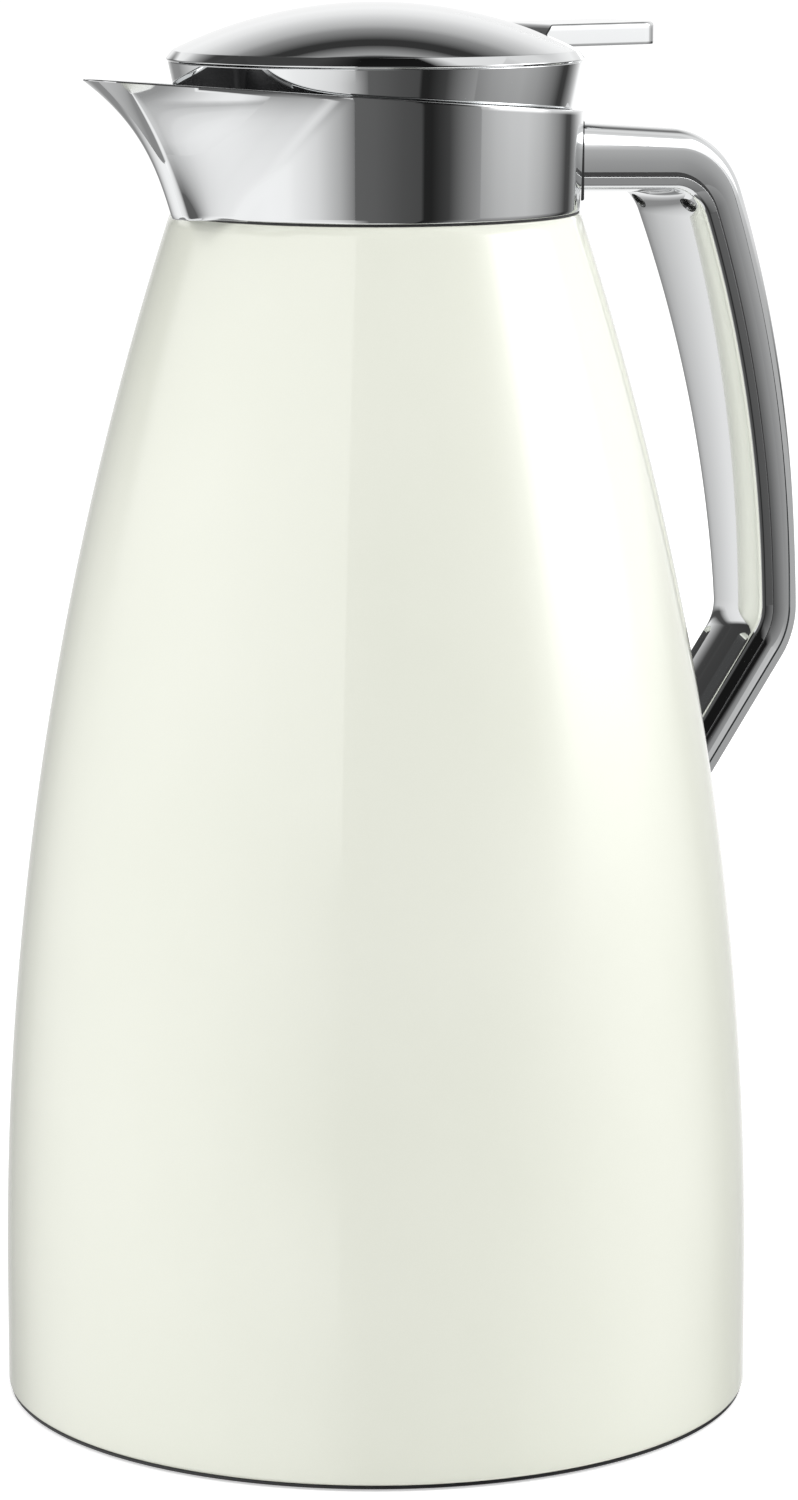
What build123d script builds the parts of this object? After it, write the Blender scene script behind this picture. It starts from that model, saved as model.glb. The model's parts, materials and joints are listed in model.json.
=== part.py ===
"""Insulated serving jug: lacquered shell, glass liner, bright head with spout, looped handle, press-lever lid.

Millimetres. +Z is up, the handle points along +X and the spout along -X. The origin is on the jug's own axis,
at the level of the table it stands on.
"""

import os
from math import acos, cos, radians, sin, sqrt

from build123d import *

os.makedirs("parts", exist_ok=True)

# Lacquered shell
base_radius = 75.0
base_straight = 22.0
seam_height = 237.6
seam_radius = 40.3
shell_wall = 1.0
shell_lift = 1.1
hem_width = 3.0
flange_width = 5.8

# Base
cap_lift = 0.4
cap_inset = 0.4
cap_floor = 1.8
cap_wall = 2.0
cap_height = 9.0
cap_hem_gap = 0.2
foot_inset = 5.0
foot_width = 10.0
foot_height = 1.6
recess_margin = 4.0
recess_depth = 1.4

# Glass liner
liner_bottom = 9.0
liner_room = 13.0
glass_wall = 1.6
vacuum_gap = 3.0
neck_bore_radius = 26.0
lip_drop = 5.6
lip_thickness = 2.0
shoulder_drop = 97.6
neck_drop = 19.6
liner_corner = 22.0
shoulder_bend = 120.0
neck_bend = 40.0
tip_radius = 3.0
tip_length = 4.4
cushion_inner = 10.0
cushion_edge = 6.0
spacer_width = 8.0
spacer_height = 40.0

# Neck fittings
neck_seal_height = 2.5
neck_seal_width = 6.5
neck_seal_step = 0.5
insert_bore_radius = 27.0
insert_wall = 6.5
insert_flange = 2.0
seat_width = 1.2
seat_height = 2.0
drip_lip = 2.2
drip_lip_wall = 1.8
clamp_ring_height = 4.0
clamp_ring_width = 5.0
thread_clearance = 0.1
gasket_thickness = 0.4
gasket_inset = 0.2

# Collar and spout
collar_wall = 1.1
collar_floor = 1.9
collar_flare = 0.75
rim_rise = 22.35
rim_slope = 0.080
spout_lip_rise = 27.6
spout_foot = 6.7
spout_overhang = 25.0
spout_lean = 0.49
spout_curl = -0.055
spout_nose_low = 3.6
spout_nose_high = 7.6
spout_valley = 15.0
spout_valley_growth = 28.0
loft_spare = 3.0
loft_steps = 6
loft_start = 0.6

# Handle
saddle_thickness = 2.4
saddle_half_angle = 19.0
saddle_foot_rise = 1.2
saddle_height = 17.0
saddle_chamfer = 1.4
parting_rise = 6.0
arm_slope = -2.2
arm_length = 23.2
parting_bends = ((12.5, 65.2), (253.0, 19.4), (11.1, 42.6))
back_rise = 16.3
back_slope = -4.5
back_length = 24.7
back_bends = ((20.5, 62.7), (243.4, 21.4), (16.5, 40.7))
tail_length = 46.0
grip_depth = 3.9
handle_top_half = 12.0
handle_low_half = 8.4
taper_top_rise = 2.4
taper_low_drop = 87.6
taper_bend = 600.0
back_fillet = 4.0
grip_fillet = 1.8
back_wall = 1.8
grip_wall = 1.6
parting_gap = 0.25
rib_rise = 1.2
rib_clearance = 0.1
rib_wall = 1.2
root_clearance = 0.05
root_overrun = 8.0
screw_hole_radius = 1.9
screw_bend = 0
screw_hole_turn = 46.0
screw_hole_spread = 8.0
boss_wall = 1.3
foot_bend = 2
slot_half_width = 1.45
slot_length = 26.0
slot_start = 0.5
slot_depth = 0.9
slot_spread = 5.9

# Handle fixings
pad_thickness = 1.2
pad_clearance = 0.1
pad_sink = 27.23
pad_height = 24.5
pad_half_angle = 7.6
tongue_width = 8.0
tongue_thickness = 2.4
tongue_length = 16.0
root_tongue_width = 18.0
root_tongue_height = 5.0
root_tongue_length = 15.0
root_tongue_rise = 9.8
collar_screw_radius = 1.5
collar_screw_head = 2.5
collar_screw_head_height = 1.2
collar_screw_spread = 6.5
collar_screw_length = 16.0
screw_clearance = 0.15
handle_screw_head = 1.75
handle_screw_head_height = 1.4
handle_screw_radius = 1.1
handle_screw_length = 5.5
handle_screw_sink = 1.3
bracket_offset = 2.8

# Lid cover
dome_curve = 90.0
dome_overhang = 0.7
dome_edge = 1.32
dome_wall = 1.1
dome_edge_fillet = 1.2
skirt_height = 14.2
skirt_flare = 0.5
skirt_waist_tuck = 0.45
skirt_waist_rise = 9.0
skirt_tuck = 1.5
skirt_rise = 15.4
skirt_wall = 1.4

# Stopper
stopper_depth = 25.0
plug_gap = 0.6
tube_gap = 0.7
tube_wall = 2.0
seal_height = 2.2
seal_overhang = 0.5
seal_seat_gap = 0.3
flange_thickness = 2.0
stopper_flange_gap = 0.2
window_count = 8
window_width = 10.0
window_rise = 3.8
window_height = 6.7
port_radius = 11.0
port_floor = 2.0
cover_radius = 32.5
cover_thickness = 2.0
boss_radius = 8.0
boss_depth = 7.0
lid_screw_circle = 29.0
lid_screw_count = 3
lid_screw_radius = 1.2
lid_screw_head = 2.2
lid_screw_head_height = 1.3

# Valve
stem_radius = 3.0
guide_clearance = 0.1
valve_overlap = 3.0
valve_disc_height = 2.0
valve_seal_height = 1.5
valve_seal_gap = 0.3
valve_seal_width = 4.5
stem_head_lip = 2.5
stem_head_height = 2.2
spring_room = 2.6
spring_wire = 0.45
spring_wire_sides = 8
spring_turns = 5

# Thumb lever
pivot_x = 24.0
pivot_rise = 9.0
pin_radius = 1.5
pin_clearance = 0.05
hub_radius = 3.6
ear_thickness = 3.0
ear_clearance = 0.3
arm_half_width = 8.0
fork_thickness = 3.0
fork_tip = 1.5
fork_clearance = 0.4
head_gap = 0.3
plate_inset = 5.0
plate_rake = 3.4
plate_length = 28.5
plate_half_width = 10.0
plate_rise = 5.0
plate_height = 4.5
plate_wall = 1.5
plate_corner = 5.0
plate_edge = 0.8
tongue_clearance = 0.1
slot_clearance = 0.6
slot_lead = 5.0
notch_rise = 0.4

# Sizes that follow from the shell
foot_outer = base_radius - foot_inset
foot_inner = foot_outer - foot_width
recess_radius = foot_inner - recess_margin
cap_hem_radius = base_radius - hem_width - cap_hem_gap
liner_radius = base_radius - liner_room
cushion_outer = liner_radius - liner_corner - cushion_edge
lip_height = seam_height - lip_drop
shoulder_height = seam_height - shoulder_drop
neck_height = seam_height - neck_drop

# Sizes that follow from the stack of parts at the neck
neck_seal_inner = neck_bore_radius + neck_seal_step
insert_outer_radius = insert_bore_radius + insert_wall
seat_radius = insert_bore_radius - seat_width
collar_bottom = seam_height + gasket_thickness
collar_floor_top = collar_bottom + collar_floor
insert_bottom = lip_height + neck_seal_height
insert_top = collar_floor_top + insert_flange
rim_centre_height = seam_height + rim_rise
spout_lip_height = seam_height + spout_lip_rise

# Sizes of the handle that follow from the head
saddle_foot = seam_height + saddle_foot_rise
saddle_top = saddle_foot + saddle_height
saddle_outer = seam_radius + collar_flare + saddle_thickness
root_tongue_level = seam_height + root_tongue_rise
handle_root = saddle_outer + root_clearance
parting_height = seam_height + parting_rise
back_height = seam_height + back_rise
taper_top = seam_height + taper_top_rise
taper_low = seam_height - taper_low_drop

# Sizes of the lid, the valve and the lever that follow from the head
skirt_bottom = seam_height + skirt_rise
skirt_bottom_radius = seam_radius - skirt_tuck
skirt_waist_height = skirt_bottom + skirt_waist_rise
skirt_waist_radius = seam_radius - skirt_waist_tuck
skirt_top_radius = seam_radius + skirt_flare
dome_bottom = skirt_bottom + skirt_height
dome_radius = seam_radius + dome_overhang
dome_top = dome_bottom + dome_edge + dome_curve - sqrt(dome_curve**2 - dome_radius**2)
flange_top = skirt_bottom
flange_bottom = flange_top - flange_thickness
stopper_flange_radius = skirt_bottom_radius - stopper_flange_gap
stopper_bottom = flange_top - stopper_depth
plug_radius = seat_radius - plug_gap
tube_radius = insert_bore_radius - tube_gap
seal_bottom = insert_bottom + seat_height + seal_seat_gap
seal_top = seal_bottom + seal_height
window_low = seal_top + window_rise
cover_top = flange_top + cover_thickness
valve_disc_radius = port_radius + valve_overlap
stem_head_radius = stem_radius + stem_head_lip
spring_radius = stem_radius + spring_room
pivot_height = cover_top + pivot_rise
notch_floor = pivot_height + notch_rise
slot_start_x = pivot_x + slot_lead
plate_start = dome_radius - plate_inset
plate_end = plate_start + plate_length
plate_low = pivot_height + plate_rise
plate_top = plate_low + plate_height


def ring(inner, outer, low, high):
    """Rectangle beside the axis that turns into a plain ring."""
    with BuildSketch() as section:
        with Locations(((inner + outer) / 2, (low + high) / 2)):
            Rectangle(outer - inner, high - low)
    return section.sketch


def body_outline_radius(height, grow=0.0):
    """Radius of the shell's outside at a height: upright at the foot, then one long arc to the seam."""
    rise = seam_height - base_straight
    run = base_radius - seam_radius
    arc_radius = (rise**2 + run**2) / (2 * run)
    above = max(0.0, height - base_straight)
    return base_radius + grow - (arc_radius - sqrt(arc_radius**2 - above**2))


# Lacquered shell: one drawn skin with a turned-in flange at the top and a hem at the foot
with BuildPart() as body_shell:
    with BuildSketch(Plane.XZ):
        with BuildLine():
            outer_foot = Line((base_radius, shell_lift), (base_radius, base_straight))
            outer_side = TangentArc((base_radius, base_straight), (seam_radius, seam_height), tangent=(0, 1))
            flange_in = seam_radius - flange_width
            inner_top = body_outline_radius(seam_height - shell_wall) - shell_wall
            inner_foot = base_radius - shell_wall
            Polyline(outer_side @ 1, (flange_in, seam_height), (flange_in, seam_height - shell_wall),
                     (inner_top, seam_height - shell_wall))
            TangentArc((inner_foot, base_straight), (inner_top, seam_height - shell_wall), tangent=(0, 1))
            Polyline((inner_foot, base_straight), (inner_foot, shell_lift + shell_wall),
                     (base_radius - hem_width, shell_lift + shell_wall), (base_radius - hem_width, shell_lift),
                     outer_foot @ 0)
        make_face()
    revolve(axis=Axis.Z)
    seam_edge = body_shell.edges().filter_by(GeomType.CIRCLE).sort_by(Axis.Z)[-2:].sort_by(SortBy.RADIUS)[-1]
    fillet(seam_edge, 0.5 * shell_wall)
body_shell.part.label = "body_shell"
export_step(body_shell.part, "parts/body_shell.step")

# Base cap: closes the shell, carries the liner's cushion and the foot ring
with BuildPart() as base_cap:
    with BuildSketch(Plane.XZ):
        with BuildLine():
            cap_outer = base_radius - cap_inset
            cap_top = cap_lift + recess_depth + cap_floor
            Polyline((0, cap_lift + recess_depth), (recess_radius, cap_lift + recess_depth),
                     (recess_radius + recess_depth, cap_lift), (foot_inner, cap_lift),
                     (foot_inner, foot_height), (foot_outer, foot_height), (foot_outer, cap_lift),
                     (cap_outer, cap_lift), (cap_outer, shell_lift), (cap_hem_radius, shell_lift),
                     (cap_hem_radius, cap_height), (cap_hem_radius - cap_wall, cap_height),
                     (cap_hem_radius - cap_wall, cap_top), (0, cap_top), close=True)
        make_face()
    revolve(axis=Axis.Z)
base_cap.part.label = "base_cap"
export_step(base_cap.part, "parts/base_cap.step")

# Foot ring: soft ring that meets the table
with BuildPart() as foot_ring:
    with BuildSketch(Plane.XZ):
        add(ring(foot_inner, foot_outer, 0, foot_height))
    revolve(axis=Axis.Z)
foot_ring.part.label = "foot_ring"
export_step(foot_ring.part, "parts/foot_ring.step")

# Liner cushion: soft ring between the base cap and the glass
with BuildPart() as liner_cushion:
    with BuildSketch(Plane.XZ):
        add(ring(cushion_inner, cushion_outer, cap_top, liner_bottom))
    revolve(axis=Axis.Z)
liner_cushion.part.label = "liner_cushion"
export_step(liner_cushion.part, "parts/liner_cushion.step")


def bottle_side(radius, bottom, neck_radius, corner, bend, neck, top):
    """Side of a bottle from its axis at the bottom, round the corner, up the wall and shoulder to the neck."""
    return FilletPolyline((0, bottom), (radius, bottom), (radius, shoulder_height), (neck_radius, neck_height),
                          (neck_radius, top), radius=[corner, bend, neck])


def bottle_wall(radius, bottom, neck_radius, top):
    """Half section of a glass wall whose outside has this radius, bottom and neck."""
    with BuildSketch() as section:
        with BuildLine():
            outside = bottle_side(radius, bottom, neck_radius, liner_corner, shoulder_bend, neck_bend, top)
            inside = bottle_side(radius - glass_wall, bottom + glass_wall, neck_radius - glass_wall,
                                 liner_corner - glass_wall, shoulder_bend, neck_bend + glass_wall, top)
            Line(outside @ 0, inside @ 0)
            Line(outside @ 1, inside @ 1)
        make_face()
    return section.sketch


outer_neck_radius = neck_bore_radius + 2 * glass_wall + vacuum_gap
inner_vessel_radius = liner_radius - glass_wall - vacuum_gap
lip_bottom = lip_height - lip_thickness

# Liner, outer wall: glass with the sealed tip under it
with BuildPart() as liner_outer_wall:
    with BuildSketch(Plane.XZ):
        add(bottle_wall(liner_radius, liner_bottom, outer_neck_radius, lip_bottom))
    revolve(axis=Axis.Z)
    with BuildSketch(Plane.XY.offset(liner_bottom)):
        Circle(tip_radius)
    extrude(amount=-tip_length, taper=20)
liner_outer_wall.part.label = "liner_outer_wall"
export_step(liner_outer_wall.part, "parts/liner_outer_wall.step")

# Liner, inner wall: the vessel that holds the drink, with the lip that joins the outer wall
with BuildPart() as liner_inner_wall:
    with BuildSketch(Plane.XZ):
        add(bottle_wall(inner_vessel_radius, liner_bottom + glass_wall + vacuum_gap,
                        neck_bore_radius + glass_wall, lip_height))
        add(ring(neck_bore_radius, outer_neck_radius, lip_bottom, lip_height))
    revolve(axis=Axis.Z)
liner_inner_wall.part.label = "liner_inner_wall"
export_step(liner_inner_wall.part, "parts/liner_inner_wall.step")

# Liner spacers: three small pads that hold the two glass walls apart
with BuildPart() as liner_spacers:
    with Locations((0, 0, spacer_height)):
        with PolarLocations(inner_vessel_radius + vacuum_gap / 2, 3):
            Box(2 * vacuum_gap, spacer_width, spacer_width)
        Cylinder(inner_vessel_radius, 2 * spacer_width, mode=Mode.SUBTRACT)
        Cylinder(inner_vessel_radius + vacuum_gap, 2 * spacer_width, mode=Mode.INTERSECT)
liner_spacers.part.label = "liner_spacers"
export_step(liner_spacers.part, "parts/liner_spacers.step")

# Neck seal: soft ring on the glass lip
with BuildPart() as neck_seal:
    with BuildSketch(Plane.XZ):
        add(ring(neck_seal_inner, neck_seal_inner + neck_seal_width, lip_height, insert_bottom))
    revolve(axis=Axis.Z)
neck_seal.part.label = "neck_seal"
export_step(neck_seal.part, "parts/neck_seal.step")

# Neck insert: lines the mouth, clamps the collar and gives the stopper its seat
with BuildPart() as neck_insert:
    with BuildSketch(Plane.XZ):
        with BuildLine():
            insert_edge = seam_radius - collar_wall - thread_clearance
            Polyline((seat_radius, insert_bottom), (insert_outer_radius, insert_bottom),
                     (insert_outer_radius, collar_floor_top), (insert_edge, collar_floor_top),
                     (insert_edge, insert_top), (insert_bore_radius + drip_lip_wall, insert_top),
                     (insert_bore_radius + drip_lip_wall, insert_top + drip_lip),
                     (insert_bore_radius, insert_top + drip_lip),
                     (insert_bore_radius, insert_bottom + seat_height),
                     (seat_radius, insert_bottom + seat_height), close=True)
        make_face()
    revolve(axis=Axis.Z)
neck_insert.part.label = "neck_insert"
export_step(neck_insert.part, "parts/neck_insert.step")

# Clamp ring: nut under the shell's flange that pulls the insert down
with BuildPart() as clamp_ring:
    with BuildSketch(Plane.XZ):
        clamp_inner = insert_outer_radius + thread_clearance
        clamp_top = seam_height - shell_wall
        add(ring(clamp_inner, clamp_inner + clamp_ring_width, clamp_top - clamp_ring_height, clamp_top))
    revolve(axis=Axis.Z)
clamp_ring.part.label = "clamp_ring"
export_step(clamp_ring.part, "parts/clamp_ring.step")

# Collar gasket: thin dark ring between the shell and the collar
with BuildPart() as collar_gasket:
    with BuildSketch(Plane.XZ):
        add(ring(seam_radius - flange_width + gasket_inset, seam_radius - gasket_inset, seam_height, collar_bottom))
    revolve(axis=Axis.Z)
collar_gasket.part.label = "collar_gasket"
export_step(collar_gasket.part, "parts/collar_gasket.step")


def spout_section(height, inset):
    """Outline of the head at a height: the round collar, a valley on each side and the spout's narrow nose."""
    rise = (height - collar_bottom + loft_start) / (spout_lip_height - collar_bottom)
    growth = spout_lean * rise + spout_curl * rise**2 + (1 - spout_lean - spout_curl) * rise**3
    round_part = seam_radius + collar_flare * min(rise, 1.0)
    nose = spout_nose_low + (spout_nose_high - spout_nose_low) * rise**3
    reach = round_part + spout_foot + (spout_overhang - spout_foot) * growth - nose
    valley = spout_valley * spout_valley_growth**rise
    to_valley, nose_to_valley = round_part + valley, nose + valley
    lean = acos((to_valley**2 + reach**2 - nose_to_valley**2) / (2 * to_valley * reach))
    turn = acos((to_valley**2 - reach**2 - nose_to_valley**2) / (2 * nose_to_valley * reach))
    half_back, half_nose, half_valley = (radians(180) - lean) / 2, turn / 2, (lean + turn) / 2
    valley_x, valley_y = -to_valley * cos(lean), to_valley * sin(lean)
    round_part, nose, valley = round_part - inset, nose - inset, valley + inset
    with BuildSketch(Plane.XY.offset(height)) as section:
        with BuildLine():
            for side in (1, -1):
                back = (round_part, 0)
                shoulder = (-round_part * cos(lean), side * round_part * sin(lean))
                cheek = (-reach - nose * cos(turn), side * nose * sin(turn))
                tip = (-reach - nose, 0)
                ThreePointArc(back, (round_part * cos(half_back), side * round_part * sin(half_back)), shoulder)
                ThreePointArc(shoulder, (valley_x + valley * cos(half_valley),
                                         side * (valley_y - valley * sin(half_valley))), cheek)
                ThreePointArc(cheek, (-reach - nose * cos(half_nose), side * nose * sin(half_nose)), tip)
        make_face()
    return section.sketch


def spout_solid(low, inset):
    """Loft of the head's outline from a height to a little above the spout's lip."""
    high = spout_lip_height + loft_spare
    with BuildPart() as solid:
        for step in range(loft_steps + 1):
            add(spout_section(low + (high - low) * step / loft_steps, inset))
        loft()
    return solid.part


rim_plane = Plane(origin=(0, 0, rim_centre_height), z_dir=(rim_slope, 0, 1))

# Collar shell: bright wall drawn out into the spout, cut off along the sloping rim
with BuildPart() as collar_shell:
    add(spout_solid(collar_bottom, 0))
    add(spout_solid(collar_floor_top, collar_wall), mode=Mode.SUBTRACT)
    with Locations((0, 0, collar_bottom)):
        Cylinder(insert_outer_radius + thread_clearance, 3 * collar_floor, mode=Mode.SUBTRACT)
    split(bisect_by=rim_plane, keep=Keep.BOTTOM)


def collar_radius(height):
    """Outside radius of the collar's round back at a height."""
    return seam_radius + collar_flare * (height - collar_bottom + loft_start) / (spout_lip_height - collar_bottom)


# Handle saddle: curved plate on the back of the collar, with the tongue that fills the handle's root
with BuildPart() as handle_saddle:
    with BuildSketch(Plane.XZ):
        with BuildLine():
            Polyline((collar_radius(saddle_foot) + root_clearance, saddle_foot), (saddle_outer, saddle_foot),
                     (saddle_outer, saddle_top - saddle_chamfer), (saddle_outer - saddle_chamfer, saddle_top),
                     (collar_radius(saddle_top) + root_clearance, saddle_top), close=True)
        make_face()
    revolve(axis=Axis.Z, revolution_arc=saddle_half_angle)
    mirror(about=Plane.XZ)
    with BuildSketch(Plane.YZ.offset(saddle_outer - saddle_thickness / 2)):
        with Locations((0, root_tongue_level)):
            Rectangle(root_tongue_width, root_tongue_height)
    extrude(amount=root_tongue_length)
    with BuildSketch(Plane.YZ):
        with Locations((-collar_screw_spread, root_tongue_level), (collar_screw_spread, root_tongue_level)):
            Circle(collar_screw_radius + screw_clearance)
    extrude(amount=saddle_outer + root_tongue_length, mode=Mode.SUBTRACT)
handle_saddle.part.label = "handle_saddle"
export_step(handle_saddle.part, "parts/handle_saddle.step")

# Collar, second step: holes for the screws that hold the saddle
with BuildPart() as collar:
    add(collar_shell.part)
    with BuildSketch(Plane.YZ):
        with Locations((-collar_screw_spread, root_tongue_level), (collar_screw_spread, root_tongue_level)):
            Circle(collar_screw_radius + screw_clearance)
    extrude(amount=saddle_outer, mode=Mode.SUBTRACT)
collar.part.label = "collar"
export_step(collar.part, "parts/collar.step")

# Collar screws: driven from inside the mouth, through the collar and saddle into the tongue
screw_seat_radius = collar_radius(root_tongue_level - collar_screw_head) - collar_wall
screw_seat = sqrt(screw_seat_radius**2 - (collar_screw_spread + collar_screw_head)**2) - root_clearance
with BuildPart() as collar_screws:
    for side in (-1, 1):
        with BuildSketch(Plane.YZ.offset(screw_seat)):
            with Locations((side * collar_screw_spread, root_tongue_level)):
                Circle(collar_screw_head)
        extrude(amount=-collar_screw_head_height)
        with BuildSketch(Plane.YZ.offset(screw_seat)):
            with Locations((side * collar_screw_spread, root_tongue_level)):
                Circle(collar_screw_radius)
        extrude(amount=collar_screw_length)
collar_screws.part.label = "collar_screws"
export_step(collar_screws.part, "parts/collar_screws.step")


def outline(start, slope, straight, bends):
    """Straight run, bends that all turn downwards and a straight tail. Returns where it starts and ends."""
    piece = PolarLine(start, straight, slope)
    first = piece @ 0
    for radius, turn in bends:
        piece = JernArc(piece @ 1, piece % 1, radius, -turn)
    tail = PolarLine(piece @ 1, tail_length, direction=piece % 1)
    return first, tail @ 1


def shifted(height, slope, length, bends, offset):
    """The same outline moved outwards by an offset, with its bends kept concentric."""
    across = radians(slope)
    start = (handle_root - root_overrun * cos(across) - offset * sin(across),
             height - root_overrun * sin(across) + offset * cos(across))
    return outline(start, slope, length + root_overrun, [(radius + offset, turn) for radius, turn in bends])


def parting_line(offset):
    return shifted(parting_height, arm_slope, arm_length, parting_bends, offset)


def back_line(offset):
    return shifted(back_height, back_slope, back_length, back_bends, offset)


def handle_block(low_line, low_offset, high_line, high_offset, inset):
    """Side view between two outlines, cut to the width that the front view gives."""
    with BuildPart() as block:
        with BuildSketch(Plane.XZ):
            with BuildLine():
                low_start, low_end = low_line(low_offset)
                high_start, high_end = high_line(high_offset)
                Line(low_start, high_start)
                Line(low_end, high_end)
            make_face()
        extrude(amount=2 * handle_top_half, both=True)
        with BuildSketch(Plane.YZ):
            with BuildLine():
                above, below = 2 * seam_height, 0
                FilletPolyline((handle_top_half - inset, above), (handle_top_half - inset, taper_top),
                               (handle_low_half - inset, taper_low), (handle_low_half - inset, below),
                               radius=taper_bend)
                mirror(about=Plane.YZ)
                Line((handle_top_half - inset, above), (inset - handle_top_half, above))
                Line((handle_low_half - inset, below), (inset - handle_low_half, below))
            make_face()
        extrude(amount=3 * base_radius, mode=Mode.INTERSECT)
    return block.part


def long_edges(block, line, offset):
    """Edges that run along one of the outlines on both flanks of a handle block."""
    with BuildLine() as guide:
        line(offset)
    wire = guide.wires()[0]
    flank = handle_low_half / 2
    return [edge for edge in block.edges()
            if abs(edge.center().Y) > flank
            and wire.distance_to(Vertex(edge.center().X, edge.center().Z, 0)) < parting_gap / 2]


def body_core(grow):
    """The jug's own volume beside the handle's foot, grown a little."""
    low, middle, high = taper_low / 3, taper_low * 2 / 3, taper_low
    with BuildPart() as core:
        with BuildSketch(Plane.XZ):
            with BuildLine():
                side = ThreePointArc((body_outline_radius(low, grow), low), (body_outline_radius(middle, grow), middle),
                                     (body_outline_radius(high, grow), high))
                Polyline(side @ 1, (0, high), (0, low), side @ 0)
            make_face()
        revolve(axis=Axis.Z)
    return core.part


def parting_frame(bend, turned, along=0.0):
    """Sketch plane on the parting line, part way round a bend or along the run after it, facing the grip side."""
    heading = radians(arm_slope)
    x, z = handle_root + arm_length * cos(heading), parting_height + arm_length * sin(heading)
    for radius, turn in parting_bends[:bend] + ((parting_bends[bend][0], turned),):
        centre_x, centre_z = x + radius * sin(heading), z - radius * cos(heading)
        heading -= radians(turn)
        x, z = centre_x - radius * sin(heading), centre_z + radius * cos(heading)
    x, z = x + along * cos(heading), z + along * sin(heading)
    return Plane(origin=(x, 0, z), x_dir=(0, 1, 0), z_dir=(sin(heading), 0, -cos(heading)))


pad_outer = pad_clearance + pad_thickness
foot_turn = parting_bends[foot_bend][1]
screw_plane = parting_frame(screw_bend, screw_hole_turn)
slot_plane = parting_frame(foot_bend, foot_turn, slot_start + slot_length / 2)
screw_places = [(-screw_hole_spread, 0), (screw_hole_spread, 0)]

# Handle back: the outer half of the handle, hollow, rounded along its back
with BuildPart() as handle_back:
    add(handle_block(parting_line, parting_gap, back_line, 0, 0))
    fillet(long_edges(handle_back, back_line, 0), back_fillet)
    add(handle_block(parting_line, -parting_gap, back_line, -back_wall, back_wall), mode=Mode.SUBTRACT)
    with BuildSketch(screw_plane.offset(-parting_gap)):
        with Locations(*screw_places):
            Circle(handle_screw_radius + boss_wall)
            Circle(handle_screw_radius + root_clearance, mode=Mode.SUBTRACT)
    extrude(amount=-(handle_screw_length + back_wall))
    add(body_core(pad_outer + root_clearance), mode=Mode.SUBTRACT)
    with Locations((0, 0, parting_height)):
        Cylinder(saddle_outer + root_clearance, 4 * saddle_half_angle, mode=Mode.SUBTRACT)
handle_back.part.label = "handle_back"
export_step(handle_back.part, "parts/handle_back.step")

# Handle grip: the half that faces the jug, with a rib that sits inside the back
with BuildPart() as handle_grip:
    add(handle_block(parting_line, -grip_depth, parting_line, -parting_gap, 0))
    fillet(long_edges(handle_grip, parting_line, -grip_depth), grip_fillet)
    rib_inset = back_wall + rib_clearance
    add(handle_block(parting_line, -2 * parting_gap, parting_line, rib_rise, rib_inset))
    add(handle_block(parting_line, grip_wall - grip_depth, parting_line, 2 * rib_rise, rib_inset + rib_wall),
        mode=Mode.SUBTRACT)
    with BuildSketch(screw_plane.offset(parting_gap)):
        with Locations(*screw_places):
            Circle(screw_hole_radius + boss_wall)
    extrude(amount=grip_depth - grip_wall / 2)
    with BuildSketch(screw_plane.offset(grip_depth)):
        with Locations(*screw_places):
            Circle(screw_hole_radius)
    extrude(amount=-(handle_screw_sink + handle_screw_head_height), mode=Mode.SUBTRACT)
    with BuildSketch(screw_plane.offset(grip_depth)):
        with Locations(*screw_places):
            Circle(handle_screw_radius + screw_clearance)
    extrude(amount=-2 * grip_depth, mode=Mode.SUBTRACT)
    with BuildSketch(screw_plane):
        with Locations(*screw_places):
            Circle(handle_screw_radius + boss_wall + rib_clearance)
    extrude(amount=-2 * rib_rise, mode=Mode.SUBTRACT)
    with BuildSketch(slot_plane.offset(grip_depth)):
        with Locations((-slot_spread, 0), (slot_spread, 0)):
            SlotOverall(slot_length, 2 * slot_half_width, rotation=90)
    extrude(amount=-slot_depth, mode=Mode.SUBTRACT)
    add(body_core(pad_outer + root_clearance), mode=Mode.SUBTRACT)
    with Locations((0, 0, parting_height)):
        Cylinder(saddle_outer + root_clearance, 4 * saddle_half_angle, mode=Mode.SUBTRACT)
handle_grip.part.label = "handle_grip"
export_step(handle_grip.part, "parts/handle_grip.step")

# Handle screws: sunk in the grip's holes and driven into the back's bosses
with BuildPart() as handle_screws:
    for place in screw_places:
        with BuildSketch(screw_plane.offset(grip_depth - handle_screw_sink)):
            with Locations(place):
                Circle(handle_screw_head)
        extrude(amount=-handle_screw_head_height)
        with BuildSketch(screw_plane.offset(grip_depth - handle_screw_sink)):
            with Locations(place):
                Circle(handle_screw_radius)
        extrude(amount=-(handle_screw_head_height + handle_screw_length))
handle_screws.part.label = "handle_screws"
export_step(handle_screws.part, "parts/handle_screws.step")

foot_plane = parting_frame(foot_bend, foot_turn).offset(-bracket_offset)
bracket_plane = Plane(origin=foot_plane.origin, x_dir=(0, 1, 0), z_dir=foot_plane.y_dir)


def bracket_bar(grow):
    """Flat bar from inside the handle's foot towards the jug, grown for its hole."""
    with BuildPart() as bar:
        with BuildSketch(bracket_plane.offset(tongue_length / 2)):
            Rectangle(tongue_width + 2 * grow, tongue_thickness + 2 * grow)
        extrude(amount=2 * tongue_length + grow)
    return bar.part


# Lower bracket: steel tab welded to the shell that carries the handle's foot
with BuildPart() as lower_bracket:
    add(bracket_bar(0))
    add(body_core(root_clearance), mode=Mode.SUBTRACT)
lower_bracket.part.label = "lower_bracket"
export_step(lower_bracket.part, "parts/lower_bracket.step")

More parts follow.
